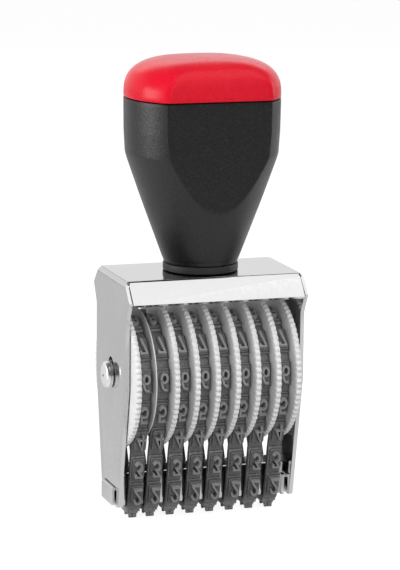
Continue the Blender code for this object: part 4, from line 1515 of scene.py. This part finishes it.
@dataclass
class Studio:
    """Pale floor, soft lamps, white surroundings and the photograph's camera.

    Each range is where one level gives way to the next: by distance on the floor, else by direction.
    """

    azimuth: float = 18.58
    elevation: float = 11.22
    roll: float = 0.67
    lens: float = 168.0
    sensor: float = 36.0
    clip: Point = (0.01, 20.0)
    place: Triple = (-0.21879, -0.65085, 0.19748)
    lamp_target: Triple = (0, 0, 0.065)
    floor_half: float = 3.0
    floor_level: float = 0.30
    fill: float = 0.33
    floor_glow: float = 0.88
    under_glow: float = 0.60
    near_front_glow: float = 0.75
    front_left_level: float = 0.04
    front_right_level: float = 0.29
    side_glow: float = 0.52
    back_level: float = 1.0
    ceiling_level: float = 0.25
    close_range: Point = (0.050, 0.065)
    near_range: Point = (0.10, 0.13)
    far_range: Point = (0.22, 0.40)
    side_range: Point = (0.10, 0.80)
    turn_range: Point = (-0.05, 0.30)
    ceiling_range: Point = (0.50, 0.62)
    back_range: Point = (0.05, 0.60)
    softboxes: tuple[Softbox, ...] = (
        Softbox("left_softbox", (-0.52, 0.06, 0.115), (0.25, 0.21), 1.05),
        Softbox("left_fill", (-0.63, -0.13, 0.24), (0.30, 0.50), 1.1, False),
        Softbox("right_softbox", (0.64, 0.10, 0.18), (0.16, 0.45), 0.45),
        Softbox("top_softbox", (0.16, -0.26, 0.62), (0.60, 0.50), 1.15),
        Softbox("back_softbox", (0.20, 0.78, 0.64), (1.00, 0.30), 1.1),
        Softbox("front_fill", (0.05, -0.80, 0.30), (0.60, 0.60), 2.5, False),
    )

    def camera(self) -> None:
        """Set the camera where the photograph was taken from."""
        turn, tilt, roll = (math.radians(v) for v in (self.azimuth, self.elevation, self.roll))
        back = Vector((-math.sin(turn) * math.cos(tilt), -math.cos(turn) * math.cos(tilt), math.sin(tilt)))
        level = (-back).cross(Vector((0, 0, 1))).normalized()
        upright = level.cross(-back)
        right = math.cos(roll) * level + math.sin(roll) * upright
        up = math.cos(roll) * upright - math.sin(roll) * level
        matrix = Matrix.Identity(4)
        for row in range(3):
            matrix[row] = (right[row], up[row], back[row], self.place[row])
        data = bpy.data.cameras.new("camera")
        data.lens, data.sensor_width = self.lens, self.sensor
        data.clip_start, data.clip_end = self.clip
        item = put_in_scene("camera", data)
        item.matrix_world = matrix
        bpy.context.scene.camera = item

    def front_level(self, tree: Tree, across: Socket) -> Socket:
        """Level of the room in front of the stamp, dark at the left and lighter at the right."""
        return tree.spread(across, *self.turn_range, self.front_left_level, self.front_right_level)

    def floor(self) -> None:
        """Lay a pale floor that keeps the stamp's shadow."""
        half = self.floor_half
        mesh = bpy.data.meshes.new("floor")
        mesh.from_pydata([(-half, -half, 0), (half, -half, 0), (half, half, 0), (-half, half, 0)], [],
                         [(0, 1, 2, 3)])
        material = bpy.data.materials.new("floor")
        material.use_nodes = True
        material.node_tree.nodes.clear()
        tree = Tree(material.node_tree)
        matt = tree.first("ShaderNodeBsdfDiffuse", {"Color": (*[self.floor_level] * 3, 1.0)})
        seen, mirrored = tree.rays()
        spot = tree.add("ShaderNodeTexCoord").outputs["Object"]
        away = tree.add("ShaderNodeVectorMath", {0: spot}, operation="LENGTH").outputs["Value"]
        turn = tree.first("ShaderNodeVectorMath", {0: spot}, operation="NORMALIZE")
        across, along, _ = tree.add("ShaderNodeSeparateXYZ", {0: turn}).outputs
        close = tree.spread(away, *self.close_range, self.near_front_glow, self.under_glow)
        near = tree.spread(away, *self.near_range, close, self.near_front_glow)
        front = tree.spread(away, *self.far_range, near, self.front_level(tree, across))
        painted = tree.spread(along, *self.side_range, front, self.side_glow)
        strength = tree.math("MAXIMUM", tree.math("MULTIPLY", seen, self.floor_glow),
                             tree.math("MULTIPLY", mirrored, painted))
        glow = tree.first("ShaderNodeEmission", {"Strength": strength})
        both = tree.first("ShaderNodeAddShader", {0: matt, 1: glow})
        tree.add("ShaderNodeOutputMaterial", {"Surface": both})
        mesh.materials.append(material)
        put_in_scene("floor", mesh)

    def world(self) -> None:
        """White surroundings for what is seen, and a soft even fill for what is lit."""
        world = bpy.data.worlds.new("studio")
        world.use_nodes = True
        tree = Tree(world.node_tree)
        seen, glossy = tree.rays()
        place = tree.add("ShaderNodeTexCoord").outputs["Generated"]
        across, along, up = tree.add("ShaderNodeSeparateXYZ", {0: place}).outputs
        back = tree.spread(up, *self.ceiling_range, self.back_level, self.ceiling_level)
        mirrored = tree.spread(along, *self.back_range, self.front_level(tree, across), back)
        unseen = tree.spread(glossy, 0.0, 1.0, self.fill, mirrored)
        background = world.node_tree.nodes["Background"].inputs
        tree.put((1.0, 1.0, 1.0, 1.0), background["Color"])
        tree.put(tree.spread(seen, 0.0, 1.0, unseen, 1.0), background["Strength"])
        bpy.context.scene.world = world

    def build(self) -> None:
        """Set up the whole studio."""
        self.camera()
        self.floor()
        self.world()
        for softbox in self.softboxes:
            softbox.build(Vector(self.lamp_target))
        bpy.context.scene.view_settings.view_transform = "Standard"


def main() -> None:
    """Build every sub-assembly and set the studio, logging each piece."""
    logging.basicConfig(level=logging.INFO, format="%(message)s")
    for part in (SheetFrame(), AxleSet(), SettingWheels(), NumberBands(), KnobHandle(), Studio()):
        LOG.info("building %s", type(part).__name__)
        part.build()


if __name__ == "__main__":
    main()
